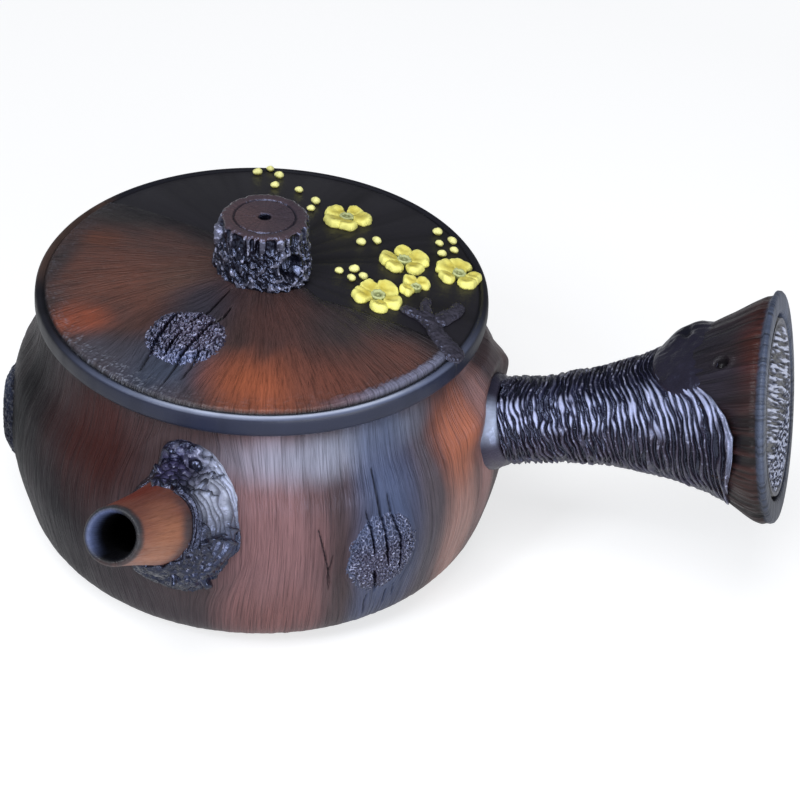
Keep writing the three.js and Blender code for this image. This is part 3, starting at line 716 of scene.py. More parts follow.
def knot_relief(name, knot, height, cracks, seed, scale, colour, edge_colour, contrast):
    """A bark knot on the belly: a low mound of small winding ridges and pits, split by cracks."""
    middle, level, half_across, half_up = knot

    def outline(turn):
        return oval(turn, half_across, half_up) * (1 + 0.05 * noise(ringed(1, turn, 0) * 2.3, seed))

    x, y, share, top = polar_relief(outline, rows=72, columns=320)
    flat = stacked(x, y, 0)
    maze = worms(flat * (1.5, 1.25, 1) / scale, seed)
    crack = cracked(x, y, cracks)
    ragged = 0.12 * noise(flat * 0.8, seed + 8)
    inner = smooth(1.0, 0.86, share + ragged)
    detail = (0.5 * maze + 0.12 * noise(flat * 3.2, seed + 3) - 0.3) * inner * scale
    lift = smooth(1.04, 0.55, share) * height + detail
    lift = lift - 0.05 - 0.5 * smooth(0.84, 1.0, share + 0.5 * ragged) - 1.1 * crack
    points = on_belly(middle + x / BODY_RADIUS, level + y, np.where(top, lift, -BEDDING))
    # Relief for the bark's painted shade in pits and cracks and painted highlight on ridges; contrast scales
    # both
    relief = np.where(top, 0.5 + contrast * (maze - 0.5) * inner, 0.3) * (1 - crack)
    # The second patch, pale blue on the knot's upper side, is a painted highlight
    patches = [(-2, -3, 8, 9, (64, 53, 66), 0.8 * contrast), (-1, 8, 10, 5, (76, 86, 114), 0.9 * contrast)]
    tint = painted(x, y, colour, patches, layered(flat * 0.15, 2, seed + 6))
    tint = blended(tint, smooth(0.8, 0.98, share + ragged), edge_colour)
    return shell(name, points, tint, flat, relief)


def body_knots():
    right = knot_relief(
        "right_knot_bark", RIGHT_KNOT, height=0.9, cracks=RIGHT_CRACKS, seed=31, scale=0.72,
        colour=(36, 35, 52), edge_colour=(66, 74, 98), contrast=0.72,
    )
    dress(right, "pot", "bark_clay", BARK, "bark_knot_right")
    left = knot_relief(
        "left_knot_bark", LEFT_KNOT, height=1.3, cracks=[], seed=47, scale=1.1,
        colour=(14, 13, 18), edge_colour=(18, 17, 19), contrast=0.4,
    )
    dress(left, "pot", "bark_clay", GLOSS_BLACK, "bark_knot_left")


# Bark ring of the spout: how far it reaches sideways and upwards on the body, and how far it climbs the spout
RING_HALF_ACROSS = 15.2
RING_HALF_UP = 18.8
RING_CLIMB = 15.2

# Marks in the ring's bark, by millimetres around it from its top, positive to the left, and down its slope.
# A hole is its place and radius, and a cut its width and path.
RING_HOLES = [(-2.6, 12.5, 1.7), (-3, 2.4, 0.9), (-7, 8, 0.8), (4, 8, 0.7), (-31, 14, 0.9), (-34, 9, 0.7)]
RING_CUTS = [
    (0.35, [(-4.6, 7.5), (-6.4, 12), (-8, 17)]),
    (0.3, [(-6, 3.6), (-8, 7), (-11, 9)]),
    (0.4, [(-17.6, 9.6), (-17.9, 13.5), (-17.6, 17)]),
    (0.4, [(-19.9, 7.8), (-20.2, 12.5), (-19.8, 16.4)]),
    (0.35, [(-15.8, 4.4), (-18.6, 6.6), (-21.6, 7.2)]),
    (0.35, [(-22.8, 4), (-20.4, 6), (-18.8, 9.6)]),
    (0.3, [(-24, 8.6), (-22, 6.8), (-20, 6.4)]),
]


def spout_ring():
    """Bark around the spout's root, which climbs it: nubs and holes, with long ridges at the right."""
    columns, rows = 300, 76
    turn = turns(columns)
    angle = wrapped(turn)
    bare = smooth(0.25, 0.6, angle) * smooth(2.7, 2.3, angle)
    ring = ringed(1, turn, 0)
    reach = oval(turn, RING_HALF_UP, RING_HALF_ACROSS)
    low_right = smooth(0.7, 0, np.abs(angle + 2.3))
    reach = reach * (0.94 + 0.04 * noise(ring * 2.1, 5) + 0.02 * noise(ring * 7, 6))
    reach = reach - 3.4 * bare - 1.4 * low_right
    climb = RING_CLIMB - 11 * bare
    thick = 1 - 0.75 * bare

    def on_cone(share, above):
        along = climb * share
        return around_spout(along, turn, spout_radius(along) + above)

    def on_root(share, lift):
        across, up = -reach * share * np.sin(turn), reach * share * np.cos(turn)
        return on_belly(SPOUT_TURN + across / BODY_RADIUS, SPOUT_HEIGHT - 1 + up, lift)

    outline = np.stack([
        on_cone(1.06, -0.5), on_cone(1, 0.75 * thick), on_cone(0.82, 1.2 * thick), on_cone(0.5, 2.2 * thick),
        on_cone(0.22, 3.2 * thick), on_root(0.9, 1.8 * thick), on_root(0.97, 0.7 * thick), on_root(1, -0.4),
    ])
    surface = spline(outline.reshape(len(outline), -1), rows).reshape(rows, columns, 3)
    hidden = np.stack([on_root(0.8, -0.6), around_spout(1, turn, 7)])
    points = np.concatenate([surface, hidden])
    share = np.concatenate([np.linspace(0, 1, rows), [1, 0]])[:, None]
    seen = (np.arange(rows + 2) < rows)[:, None]
    around, down = 12 * angle, 20 * share
    flat = stacked(around, down, 0)
    degrees = np.degrees(angle)
    ridge_zone = smooth(-22, -38, degrees) * smooth(-122, -106, degrees)
    near, second = cell_distances(points * 0.55, 8)
    nubs = smooth(0.0, 0.34, second - near) * (0.55 + 0.45 * smooth(0.75, 0.2, near))
    tiny = noise(points * 1.9, 12)
    warped = down + 1.1 * noise(points * 0.22, 14) + 0.05 * around
    ridges = 0.5 + 0.5 * np.cos(warped * 2 * math.pi / 1.35 + 0.9 * noise(flat * (0.16, 0.5, 1), 15))
    ridges = ridges * (0.65 + 0.35 * smooth(-0.3, 0.3, noise(flat * (0.2, 0.7, 1), 16)))
    texture = nubs * (1 - ridge_zone) + ridges * ridge_zone
    holes = 0 * texture
    for hole_around, hole_down, size in RING_HOLES:
        away = np.hypot(around - hole_around, down - hole_down) / size
        holes = np.maximum(holes, smooth(1.05, 0.6, away))
        texture = np.where(away < 1.8, smooth(0.9, 1.3, away), texture)
    cuts = cracked(around, down, RING_CUTS)
    edges = smooth(0, 0.06, share) * smooth(0.97, 0.86, share) * (1 - 0.85 * bare)
    detail = (0.95 * texture + 0.1 * tiny - 0.5) * edges - (1.5 * holes + 0.9 * cuts) * edges
    points = swollen(points, np.where(seen, detail, 0), True)
    # Relief for the bark's painted shade in holes and cuts and painted highlight on nubs and ridges
    relief = 0.5 + (texture - 0.5) * edges * (1 - 0.35 * ridge_zone)
    relief = np.where(seen, relief, 0.2) * (1 - holes) * (1 - cuts)
    blush = layered(points * 0.12, 2, 17)
    # The first patch and the last, pale blue on the right lobe and on the top lobe, are painted highlights
    patches = [
        (-11, 14.5, 8, 10, (200, 206, 228), 0.95),
        (-20, 14, 6, 7, (64, 70, 94), 0.8),
        (-31, 13, 8, 6, (34, 44, 74), 0.8),
        (2, 10, 7, 8, (70, 66, 100), 0.95),
    ]
    tint = painted(around, down, (22, 21, 34), patches, blush)
    tint = blended(tint, np.clip(bare + 0.9 * smooth(0.16, 0.0, share), 0, 1), (46, 38, 40))
    tint = blended(tint, bare * smooth(0.3, 0.9, share), (32, 28, 32))
    piece = shell("spout_ring_bark", points, tint, flat, relief, looped=True)
    dress(piece, "pot", "bark_clay", BARK, "spout_bark_ring")


# Spout

SPOUT_CURVE = spline(SPOUT_OUTLINE, 90)


def spout_radius(along):
    return np.interp(along, SPOUT_CURVE[:, 0], SPOUT_CURVE[:, 1])


def spout():
    turn = turns(columns=150)
    along, radius, part = lathe(SPOUT_CURVE, evenly(SPOUT_BORE, 1.5))
    is_outer = part == 0
    root = SPOUT_OUTLINE[0][1] * np.cos(turn) * math.tan(SPOUT_RISE) - 1
    start = np.where(is_outer, smooth(12, 0, along), smooth(20, 0, along)) * root
    grain = ringed(9, turn, along)
    streak = layered(grain * (0.7, 0.7, 0.04), 2, 4)
    bump = 0.1 * streak * is_outer * smooth(38.5, 36, along)
    points = around_spout(along - start, turn, radius + bump)
    bend = (along / SPOUT_LENGTH) ** 2
    points[..., 0] -= 0.8 * bend
    points[..., 2] -= 0.3 * bend
    ragged = layered(grain * (0.25, 0.25, 0.05), 2, 19)
    patches = [
        (35, 24, 50, 22, (122, 50, 36), 0.9),
        (130, 20, 60, 40, (60, 44, 42), 0.85),
        (-100, 28, 70, 14, (170, 112, 82), 0.85),
        (-85, 17, 70, 4.5, (62, 58, 62), 0.9),
        (0, 42.3, 400, 2.2, (48, 48, 52), 1),
    ]
    tint = painted(np.degrees(turn), along, (129, 79, 64), patches, ragged, wrap=360)
    # Painted light on the bore's left wall near the mouth, and painted shade, near black, deeper in
    lit = smooth(36.5, 41.5, along) * smooth(-0.1, 0.8, np.sin(turn + 0.3))
    bore_tint = blended(linear((9, 9, 14)), lit, (80, 90, 124))
    tint = np.where(is_outer[..., None], tint, bore_tint)
    piece = shell("spout_cone", points, tint, grain, 0.55 + 0.12 * streak, looped=True)
    dress(piece, "pot", "orange_clay", ORANGE, "spout")


# Handle

# Where the barrel starts, how much of its end leans back and how far its vent is from its axis
BARREL_START = 58
LEANING_LENGTH = 14
VENT_OUT = 21


def end_lean(turn, radius):
    """How much further along the axis a place of the leaning end lies."""
    return radius * np.cos(turn) * math.tan(HANDLE_END_TILT)


def end_slant(along, turn, radius):
    """How far along the axis a place lies once the handle's end leans back."""
    return along + end_lean(turn, radius) * smooth(HANDLE_END - LEANING_LENGTH, HANDLE_END, along)


def handle_barrel():
    turn = turns(columns=320)
    angle = np.degrees(wrapped(turn))
    outer = [(along, handle_radius(along)) for along in np.linspace(BARREL_START, HANDLE_END - 1.6, 200)]
    lip = [
        (1.1, 25.72), (0.5, 25.6), (0.15, 25.2), (0.02, 24.5), (0, 23.4), (0, 22.2), (0.08, 21.3),
        (0.35, 20.85), (0.9, 20.7),
    ]
    lip = [(HANDLE_END - back, radius) for back, radius in lip]
    bore = [(3, 20.6), (6, 17.5), (16, 12.5), (46, 6.5)]
    bore = [(HANDLE_END - back, radius) for back, radius in bore] + [(BARREL_START, 6)]
    along, radius, part = lathe(evenly(outer, 0.5), lip, bore)
    is_outer, on_lip = part == 0, part == 1
    grain = ringed(18, turn, along)
    wavy = grain + 0.5 * noise(grain * (0.2, 0.2, 0.12), 7)[..., None]
    flute = noise(wavy * (0.7, 0.7, 0.03), 6)
    sharp = noise(wavy * (1.5, 1.5, 0.05), 8)
    on_top = smooth(64, 34, np.abs(angle - 8))
    fluted = smooth(104, 114, along) * (1 - 0.6 * on_top)
    fray = noise(grain * (0.9, 0.9, 0), 13)
    near_lip = smooth(HANDLE_END - 5, HANDLE_END - 2.4, along)
    notch = smooth(0.3, 0.8, fray) * near_lip * is_outer
    depth = (0.55 * flute + 0.4 * sharp - 0.15) * fluted * is_outer - 0.45 * notch
    depth = depth - 0.35 * smooth(HANDLE_END - 3.2, HANDLE_END - 1.9, along) * is_outer
    belly = np.exp(-(((along - 119) / 6.5) ** 2)) * smooth(0.1, -0.85, np.cos(turn))
    crown = np.exp(-(((along - 111) / 8) ** 2)) * smooth(70, 20, np.abs(angle + 5))
    vent = np.hypot(along - VENT_ALONG, wrapped(turn - VENT_TURN) * VENT_OUT)
    pit = smooth(1.5, 0.7, vent) * is_outer
    rim = smooth(2.6, 1.8, vent) * smooth(1.1, 1.7, vent)
    depth = depth + (1.7 * belly + 0.9 * crown + 0.35 * rim) * is_outer - 1.8 * pit
    points = around_handle(end_slant(along, turn, radius), turn, radius + depth)
    ragged = layered(grain * (0.3, 0.3, 0.02), 2, 23)
    patches = [
        (10, 119, 60, 14, (56, 42, 43), 1),
        (20, 123, 34, 3.6, (82, 38, 29), 0.95),
        (92, 121, 42, 9, (52, 26, 23), 0.9),
        (5, 108, 50, 13, (38, 35, 46), 1),
        (40, 114, 22, 9, (38, 35, 46), 0.9),
        (150, 120, 40, 12, (44, 32, 33), 0.8),
        (-100, 117, 60, 14, (46, 36, 37), 0.8),
    ]
    tint = painted(angle, along, (46, 33, 33), patches, ragged, wrap=360)
    # Painted shade, darker in the grooves of the flutes
    streak = smooth(0.2, -0.4, flute + 0.7 * sharp) * fluted
    tint = blended(tint, 0.9 * streak, (9, 8, 11))
    lip_edge = smooth(HANDLE_END - 2.1, HANDLE_END - 1.5, along + 0.35 * fray)
    lip_share = np.where(on_lip, 1.0, np.where(is_outer, lip_edge, 0))
    # The lip is darker on its lower side, a painted shade
    slate = blended(linear((74, 82, 102)), smooth(60, 130, np.abs(angle)), (48, 53, 68))
    tint = tint + lip_share[..., None] * (slate - tint)
    tint = np.where((is_outer | on_lip)[..., None], tint, linear((40, 34, 35)))
    # Relief gives painted shade in the vent's pit and in the notches
    relief = np.where(on_lip, 0.55, 0.55 - 0.5 * pit - 0.5 * notch * (1 - lip_edge))
    piece = shell("handle_flare", points, tint, grain, relief, looped=True)
    dress(piece, "pot", "carved_clay", FLUTED, "handle_barrel")


# Where the bark wrap ends: degrees from the handle's top towards the spout's side, and distances along it
WRAP_EDGE = [
    (-180, 111), (-140, 106.5), (-90, 103), (-20, 102), (13, 102), (25, 105), (37, 110.5), (47, 115),
    (60, 118.6), (71, 120), (85, 119), (105, 116.5), (140, 114), (180, 111),
]
WRAP_START = 62.8


def wrap_end(turn):
    """How far along the handle its bark wrap reaches on each side."""
    angle, end = np.array(WRAP_EDGE).T
    return np.interp(np.degrees(wrapped(turn)), angle, end)


def bark_wrap():
    turn = turns(columns=270)
    rows = 355
    angle = np.degrees(wrapped(turn))
    share = np.concatenate([np.linspace(0, 1, rows), [1, 0.7, 0.4, 0]])[:, None]
    outer = (np.arange(len(share)) < rows)[:, None]
    end = wrap_end(turn)
    along = WRAP_START + share * (end - WRAP_START)
    around = ringed(12, turn, along)
    ring_place = along - 0.6 * share**2 * (end - 110)
    wander = 1.3 * noise(around * (0.1, 0.1, 0.05), 2) + 0.5 * noise(around * (0.3, 0.3, 0.3), 3)
    ring_place = ring_place + wander + 1.2 * np.cos(turn - 0.9)
    circle = ringed(1, turn, ring_place)
    strokes = noise(circle * (2.1, 2.1, 1.15), 5)
    chips = noise(circle * (4.6, 4.6, 1.7), 11)
    hatch = 0.5 * np.cos(ring_place * 2 * math.pi / 1.25) + 0.95 * strokes + 0.35 * chips
    ridge = smooth(-0.5, 0.6, hatch)
    fibre = noise(around * (0.7, 0.7, 2.8), 7)
    swell = 0.85 + 0.3 * noise(around * 0.2, 10)
    edge_lip = smooth(0.975, 0.99, share) * smooth(42, 52, angle) * smooth(150, 110, angle)
    height = (0.25 + 1.15 * swell * ridge**1.2 + 0.1 * fibre) * smooth(0, 0.02, share)
    height = height * (1 - 0.8 * smooth(0.93, 0.99, share) * smooth(52, 34, angle) * smooth(-60, -30, angle))
    height = np.where(outer, height + 0.7 * edge_lip, -0.4)
    points = around_handle(along, turn, handle_radius(along) + height)
    shaded = 1 - 0.3 * smooth(66, 100, angle)
    relief = np.where(outer, np.clip(0.75 * ridge * shaded + 0.5 * edge_lip, 0, 1), 0.2)
    ragged = layered(around * 0.12, 2, 8)
    patches = [(115, 90, 60, 60, (62, 53, 62), 0.8), (30, 86, 42, 40, (40, 42, 66), 0.7)]
    tint = painted(angle, along, (34, 30, 40), patches, ragged, wrap=360)
    lit = smooth(0.55, 0.9, ridge) * smooth(22, 40, angle) * smooth(80, 62, angle)
    lit = lit * smooth(-0.35, 0.3, chips + strokes)
    tint = blended(tint, 0.9 * (lit * outer), (190, 198, 236))
    edge_light = edge_lip * outer * smooth(100, 78, angle)
    tint = blended(tint, 0.8 * edge_light, (150, 158, 186))
    piece = shell("handle_wrap", points, tint, stacked(12 * turn, ring_place, 0), relief, looped=True)
    dress(piece, "pot", "bark_clay", BARK, "handle_bark_wrap")


def root_collar():
    turn = turns(columns=160)
    outline = [
        (52, 12.6), (57, 12.4), (59.2, 12.1), (60.7, 11.8), (61.8, 11.3), (62.7, 10.7), (63.2, 9.9),
        (63.2, 9.1), (52, 9.1), (52, 12.6),
    ]
    along, radius, _ = lathe(evenly(outline, 0.5)[:-1])
    grain = ringed(11, turn, along)
    swell = 0.25 * noise(grain * 0.25, 3) + 0.25 * noise(grain * (0.3, 0.3, 1.2), 4)
    slim = 0.9 * smooth(-0.1, -0.8, np.cos(turn))
    points = around_handle(along, turn, radius + (swell - slim) * (radius > 9.5))
    # The first patch, pale blue at the front, is a painted highlight
    patches = [(56, 61, 28, 5, (176, 186, 210), 1), (120, 60.5, 40, 4, (70, 62, 72), 0.9)]
    tint = painted(np.degrees(wrapped(turn)), along, (48, 45, 58), patches, wrap=360)
    piece = shell("handle_collar", points, tint, grain, 0.5 + 0.3 * swell, looped=True)
    dress(piece, "pot", "smooth_clay", GLOSS_BLACK, "handle_root_collar")


# Knot on the handle: its turn from the handle's top, its place along it and its half sizes across and along
HANDLE_KNOT_TURN = math.radians(3)
HANDLE_KNOT_ALONG = 108.5
HANDLE_KNOT_HALF_ACROSS = 13.5
HANDLE_KNOT_HALF_ALONG = 9.6


def handle_knot():
    """A dark knot on top of the handle, with a broad smooth skin that runs out over the flare."""

    def outline(turn):
        ragged = noise(ringed(1, turn, 0) * 1.6, 41)
        return oval(turn, HANDLE_KNOT_HALF_ACROSS, HANDLE_KNOT_HALF_ALONG) * (1 + 0.05 * ragged)

    x, y, share, top = polar_relief(outline, rows=60, columns=220)
    flat = stacked(x, y, 0)
    folds = layered(flat * (0.3, 0.22, 1), 2, 42)
    creases = noise(flat * (0.9, 0.35, 1), 43)
    lump = np.exp(-((np.abs(x + 6) / 4.4) ** 3) - (np.abs(y + 1) / 4.8) ** 3)
    hollow = np.exp(-(((x + 3.4) / 1.7) ** 2) - ((y + 0.6) / 1.4) ** 2)
    skirt = smooth(1.0, 0.5, share)
    lift = 1.5 * smooth(9, -3, y) * smooth(1.0, 0.84, share) + (0.35 * folds + 0.14 * creases) * skirt
    lift = lift + 1.8 * lump - 1.2 * hollow - 0.45 * smooth(0.72, 1.0, share)
    lift = np.where(top, lift, -BEDDING)
    along = HANDLE_KNOT_ALONG + y
    spread = handle_radius(HANDLE_KNOT_ALONG) * 0.95
    points = around_handle(along, HANDLE_KNOT_TURN + x / spread, handle_radius(along) + lift)
    # Relief gives the hollow a painted shade
    relief = np.where(top, 0.55 + 0.1 * folds - 0.35 * hollow, 0.3)
    tint = painted(x, y, (38, 35, 46), [(-6, -2, 5, 6, (14, 13, 20), 0.9)])
    piece = shell("handle_knot_bark", points, tint, flat, relief)
    dress(piece, "pot", "bark_clay", GLOSS_BLACK, "handle_knot")


# Disc in the handle's end, and the slant of its hatching
DISC_RADIUS = 20.1
DISC_SLANT = math.radians(36)


def end_disc():
    """The hatched disc in the mouth of the flare, with a groove around it that is painted near-black as
    shade.
    """
    turn = turns(columns=360)
    radius = np.concatenate([np.linspace(0, DISC_RADIUS, 4), np.linspace(DISC_RADIUS, 0, 130)])[:, None]
    top = np.arange(len(radius))[:, None] >= 4
    x = radius * np.sin(turn)
    y = radius * np.cos(turn)
    flat = stacked(x, y, 0)
    ahead = x * math.cos(DISC_SLANT) + y * math.sin(DISC_SLANT)
    beside = y * math.cos(DISC_SLANT) - x * math.sin(DISC_SLANT) + 0.2 * noise(flat * (0.1, 0.1, 1), 2)
    strokes = noise(stacked(0.06 * ahead, 1.25 * beside, 0), 51)
    strokes = strokes + 0.5 * noise(stacked(0.16 * ahead, 2.4 * beside, 0), 52)
    chips = noise(stacked(0.5 * (x + 0.4 * y), 1.4 * (y - 0.4 * x), 0), 53)
    lower = smooth(1, -12, y + 3 * noise(flat * 0.2, 55))
    texture = smooth(-0.35, 0.4, strokes * (1 - lower) + 1.1 * chips * lower)
    inside = smooth(19.4, 17.8, radius)
    lift = np.where(top, 0.7 * (texture - 0.8) * inside - 0.25, -2.6)
    lift = np.where(top & (radius > DISC_RADIUS - 0.35), -1.6, lift)
    points = around_handle(HANDLE_END + lift + end_lean(turn, radius), turn, radius)
    # Relief gives the strokes' tops the slate clay's painted highlight
    relief = np.where(top, texture * inside + 0.5 * (1 - inside), 0.2)
    patches = [
        (5, 3, 11, 10, (84, 90, 116), 0.8),
        (0, -13, 14, 6, (52, 56, 74), 0.6),
        (0, 15, 12, 4, (50, 52, 68), 0.7),
    ]
    tint = painted(x, y, (56, 60, 80), patches, layered(flat * 0.1, 2, 57))
    # The groove is painted near-black, a painted shade
    tint = np.where((radius > DISC_RADIUS - 0.5)[..., None], linear((10, 10, 15)), tint)
    piece = shell("handle_end", points, tint, stacked(y, x, 0), relief)
    dress(piece, "pot", "slate_clay", SLATE, "handle_end_disc")


# Lid

LID_KNOT = (-8, -30.6)
LID_KNOT_TURN = math.atan2(LID_KNOT[1], LID_KNOT[0])
LID_KNOT_RADIUS = 9.8

# Cracks in the lid, as a width and a path
LID_CRACKS = [
    (0.3, [(-3.8, -11.3), (-4.9, -16.4), (-5.8, -20.9), (-7, -24), (-8.6, -27.3)]),
    (0.36, [
        (-1.6, -17.6), (-2.1, -21.8), (-3.6, -24.7), (-5.2, -31.1), (-6.4, -35.9), (-6.8, -40.8),
        (-7.8, -46.3),
    ]),
    (0.3, [(-11.8, -23), (-12.8, -27.5), (-13.4, -33.9), (-13.5, -38), (-13.8, -43.4)]),
    (0.28, [(-3.2, -34), (-3.4, -38.7), (-4.2, -43.4)]),
    (0.24, [(-9, -29), (-9.8, -33), (-10, -37.5)]),
]

# The line on the lid between its carved side and its smooth side, from left to right
SMOOTH_EDGE = [
    (-52, 22.4), (-49.4, 21.6), (-33.7, 16.1), (-16.5, 10), (0, 3), (16, -8.1), (23, -8.1), (32.6, -8.8),
    (39.8, -9.6), (44.8, -11), (49.3, -14.8), (52, -17),
]

# Colour patches of the lid: the middle from the lid's middle, half sizes, colour and strength
LID_PATCHES = [
    (-28, -14, 25, 19, (102, 64, 53), 1),
    (-16, -12, 9, 9, (96, 72, 62), 0.5),
    (-42, 2, 9, 6, (92, 54, 40), 0.75),
    (-33, -29, 9, 6, (140, 72, 50), 0.8),
    (-38, 14, 15, 6, (46, 44, 44), 0.85),
    (-47, -10, 4, 22, (50, 45, 47), 0.8),
    (-43, -26, 4, 8, (48, 45, 48), 0.6),
    (-9, -41, 13, 11, (60, 66, 82), 1),
    (-23, -39, 10, 7, (66, 66, 76), 0.8),
    (-8, -22, 9, 15, (48, 48, 60), 0.9),
    (10, -20, 10, 16, (84, 56, 52), 0.9),
    (12, -40, 14, 10, (150, 82, 56), 1),
    (26, -34, 12, 11, (112, 66, 54), 0.9),
    (26, -16, 12, 7, (58, 50, 52), 0.8),
    (38, -20, 9, 8, (98, 62, 54), 0.8),
    (41, -27, 8, 8, (98, 62, 54), 0.6),
]


def carved_share(x, y, soft=0.35):
    """1 on the carved side of the lid and 0 on its smooth side."""
    edge_x, edge_y = np.array(SMOOTH_EDGE).T
    return smooth(soft, -soft, y - np.interp(x, edge_x, edge_y))


def lid_plate():
    # The columns are closest together where the knot's cracks are
    turn = spaced((-135, -75, 0.34), (-75, 225, 0.78))
    edge = LID_RADIUS - 2.3
    top = np.vstack([evenly([(edge, 0), (edge - 4, 0)], 0.28), evenly([(edge - 4.4, 0), (LID_VENT, 0)], 0.5)])
    top[:, 1] = dome_height(top[:, 0])
    bead_height = dome_height(51) - 0.35
    bead = [(1.9, 0), (1.6, 0.3), (1, 0.45), (0.5, 0.25), (0.2, -0.15), (0.1, -0.8)]
    bead = [(LID_RADIUS - inward, bead_height + up) for inward, up in bead[::-1]]
    side = [(LID_RADIUS - 0.7, 0), (LID_RADIUS - 0.1, 0.7), (LID_RADIUS, 1.6), (LID_RADIUS - 0.05, 3.2)]
    hollow = np.linspace(LID_VENT, FLANGE_INNER_RADIUS, 14)
    under = [(r, max(0, dome_height(r) - LID_THICKNESS)) for r in hollow] + [(FLANGE_INNER_RADIUS, 0)]
    under += [(FLANGE_INNER_RADIUS + 3, 0)]
    radius, level, part = lathe(under, evenly(side, 0.5), bead, top)
    level = level + LID_UNDERSIDE
    is_top = part == 3
    is_rim = (part == 1) | (part == 2)
    x, y = radius * np.cos(turn), radius * np.sin(turn)
    flat = stacked(x, y, 0)
    carved = carved_share(x, y)
    knot_away = np.hypot(x - LID_KNOT[0], y - LID_KNOT[1]) / LID_KNOT_RADIUS
    parted_turn = turn - wrapped(turn - LID_KNOT_TURN) * 0.35 / np.maximum(knot_away, 1.0) ** 3
    grain = ringed(30, parted_turn, radius) * (0.04 + 0.96 * carved)[..., None]
    flow = layered(grain * (0.42, 0.42, 0.05), 2, 61)
    fine = noise(grain * (1.2, 1.2, 0.12), 64)
    crack = cracked(x, y, LID_CRACKS) * carved
    fray = noise(flat * 2.1, 66) + 0.5 * noise(flat * 0.6, 69)
    front = smooth(-0.2, 0.75, -np.sin(turn - 0.45))
    rim_light = smooth(0.25, 0.9, -np.sin(turn - 0.45))
    degrees = np.degrees(turn)
    bare_left = smooth(150, 160, degrees) * smooth(205, 192, degrees)
    ridge = smooth(edge - 2.9, edge - 1.5, radius + 0.5 * fray)
    ridge = ridge * smooth(-62, -36, degrees) * smooth(-14, -20, degrees)
    near_edge = smooth(edge - 6.5, edge - 1.5, radius) * (0.25 + 0.75 * front)
    height = 0.25 * carved - 0.3 * (1 - carved) + carved * (0.07 * flow + 0.08 * fine - CRACK_DEPTH * crack)
    height = height + carved * (near_edge * 0.16 * fray + 0.4 * ridge)
    inner_edge = smooth(edge - 0.5, edge, radius)
    height = np.where(is_top, height * (1 - inner_edge) - 0.5 * inner_edge, 0)
    points = stacked(x, y, level + height)
    ragged = layered(grain * (0.14, 0.14, 0.05), 3, 67)
    tint = painted(x, y, (68, 53, 52), LID_PATCHES, ragged)
    black = linear((30, 28, 34))
    edge_wander = 1.4 * noise(flat * 0.14, 68)
    tint = black + carved_share(x, y + 3.4 + edge_wander, 4.6)[..., None] * (tint - black)
    left = smooth(0.1, -0.35, np.cos(turn))
    # Painted highlight: pale specks along the carved edge, mostly at the front left
    speckle_highlight = near_edge * carved * smooth(0.1, 0.7, fray) * (0.2 + 0.8 * left)
    tint = blended(tint, 0.42 * speckle_highlight, (150, 156, 172))
    # Painted highlight on the raised ridge at the front right of the carved edge
    tint = blended(tint, 0.75 * (ridge * carved), (124, 129, 154))
    # Painted shade in the groove just inside the edge
    groove = inner_edge * is_top * (1 - bare_left)
    tint = blended(tint, groove, (16, 15, 21))
    bead_tint = blended(linear((24, 24, 33)), rim_light, (92, 99, 122))
    # Painted highlight: a bright line along the bead's crest at the front
    crest_highlight = smooth(0.75, 0.2, np.abs(LID_RADIUS - 1.3 - radius))
    crest_highlight = crest_highlight * smooth(-112, -84, degrees) * smooth(-24, -46, degrees)
    bead_tint = blended(bead_tint, 0.85 * crest_highlight, (196, 204, 224))
    bead_tint = blended(bead_tint, bare_left, (72, 55, 49))
    is_bead = is_rim & (level > LID_UNDERSIDE + bead_height - 0.1)
    side_tint = blended(linear((20, 20, 28)), rim_light, (38, 42, 60))
    rim_tint = np.where(is_bead[..., None], bead_tint, side_tint)
    grain = np.where(is_rim[..., None], 0.04 * grain, grain)
    tint = np.where(is_rim[..., None], rim_tint, tint)
    tint = np.where((part == 0)[..., None], linear((62, 50, 48)), tint)
    # Relief adds painted shade in the cracks and more painted highlight on the specks
    relief = 0.55 + np.where(is_top, 0.05 * flow * carved - 0.55 * crack + 0.3 * speckle_highlight, 0)
    piece = shell("lid_shell", points, tint, grain, relief, looped=True)
    dress(piece, "lid", "carved_clay", LID_CARVED, "lid_plate")


def lid_knot():
    def outline(turn):
        return LID_KNOT_RADIUS * (0.97 + 0.05 * noise(ringed(1, turn, 0) * 2.2, 71))

    x, y, share, top = polar_relief(outline, rows=60, columns=260)
    flat = stacked(x, y, 0)
    along = x * math.cos(LID_KNOT_TURN) + y * math.sin(LID_KNOT_TURN)
    across = y * math.cos(LID_KNOT_TURN) - x * math.sin(LID_KNOT_TURN)
    maze = worms(stacked(across * 2.2, along * 1.3, 0), 72)
    wider_cracks = [(width + 0.14, path) for width, path in LID_CRACKS]
    crack = cracked(x + LID_KNOT[0], y + LID_KNOT[1], wider_cracks)
    inner = smooth(1, 0.85, share + 0.06 * noise(flat * 0.9, 75))
    lift = smooth(1.02, 0.7, share) + (0.5 * maze + 0.12 * noise(flat * 2.4, 74) - 0.2) * inner
    points = on_dome(x + LID_KNOT[0], y + LID_KNOT[1], np.where(top, lift - 1.2 * crack, -0.7))
    relief = np.where(top, 0.5 + (maze - 0.5) * inner, 0.3) * (1 - crack)
    # The second patch, pale blue at the knot's front edge, is a painted highlight
    tint = painted(x, y, (36, 33, 50), [(2, 2, 8, 8, (74, 62, 76), 0.7), (3, -7, 6, 3, (96, 106, 142), 0.8)])
    piece = shell("lid_knot_bark", points, tint, stacked(across, along, 0), relief)
    dress(piece, "lid", "bark_clay", BARK, "lid_bark_knot")


# Knob

# The pit in the knob's side: its turn, its distance from the knob's axis and its height above the lid
KNOB_PIT_TURN = math.radians(-39)
KNOB_PIT_OUT = 10.3
KNOB_PIT_LEVEL = 5.6


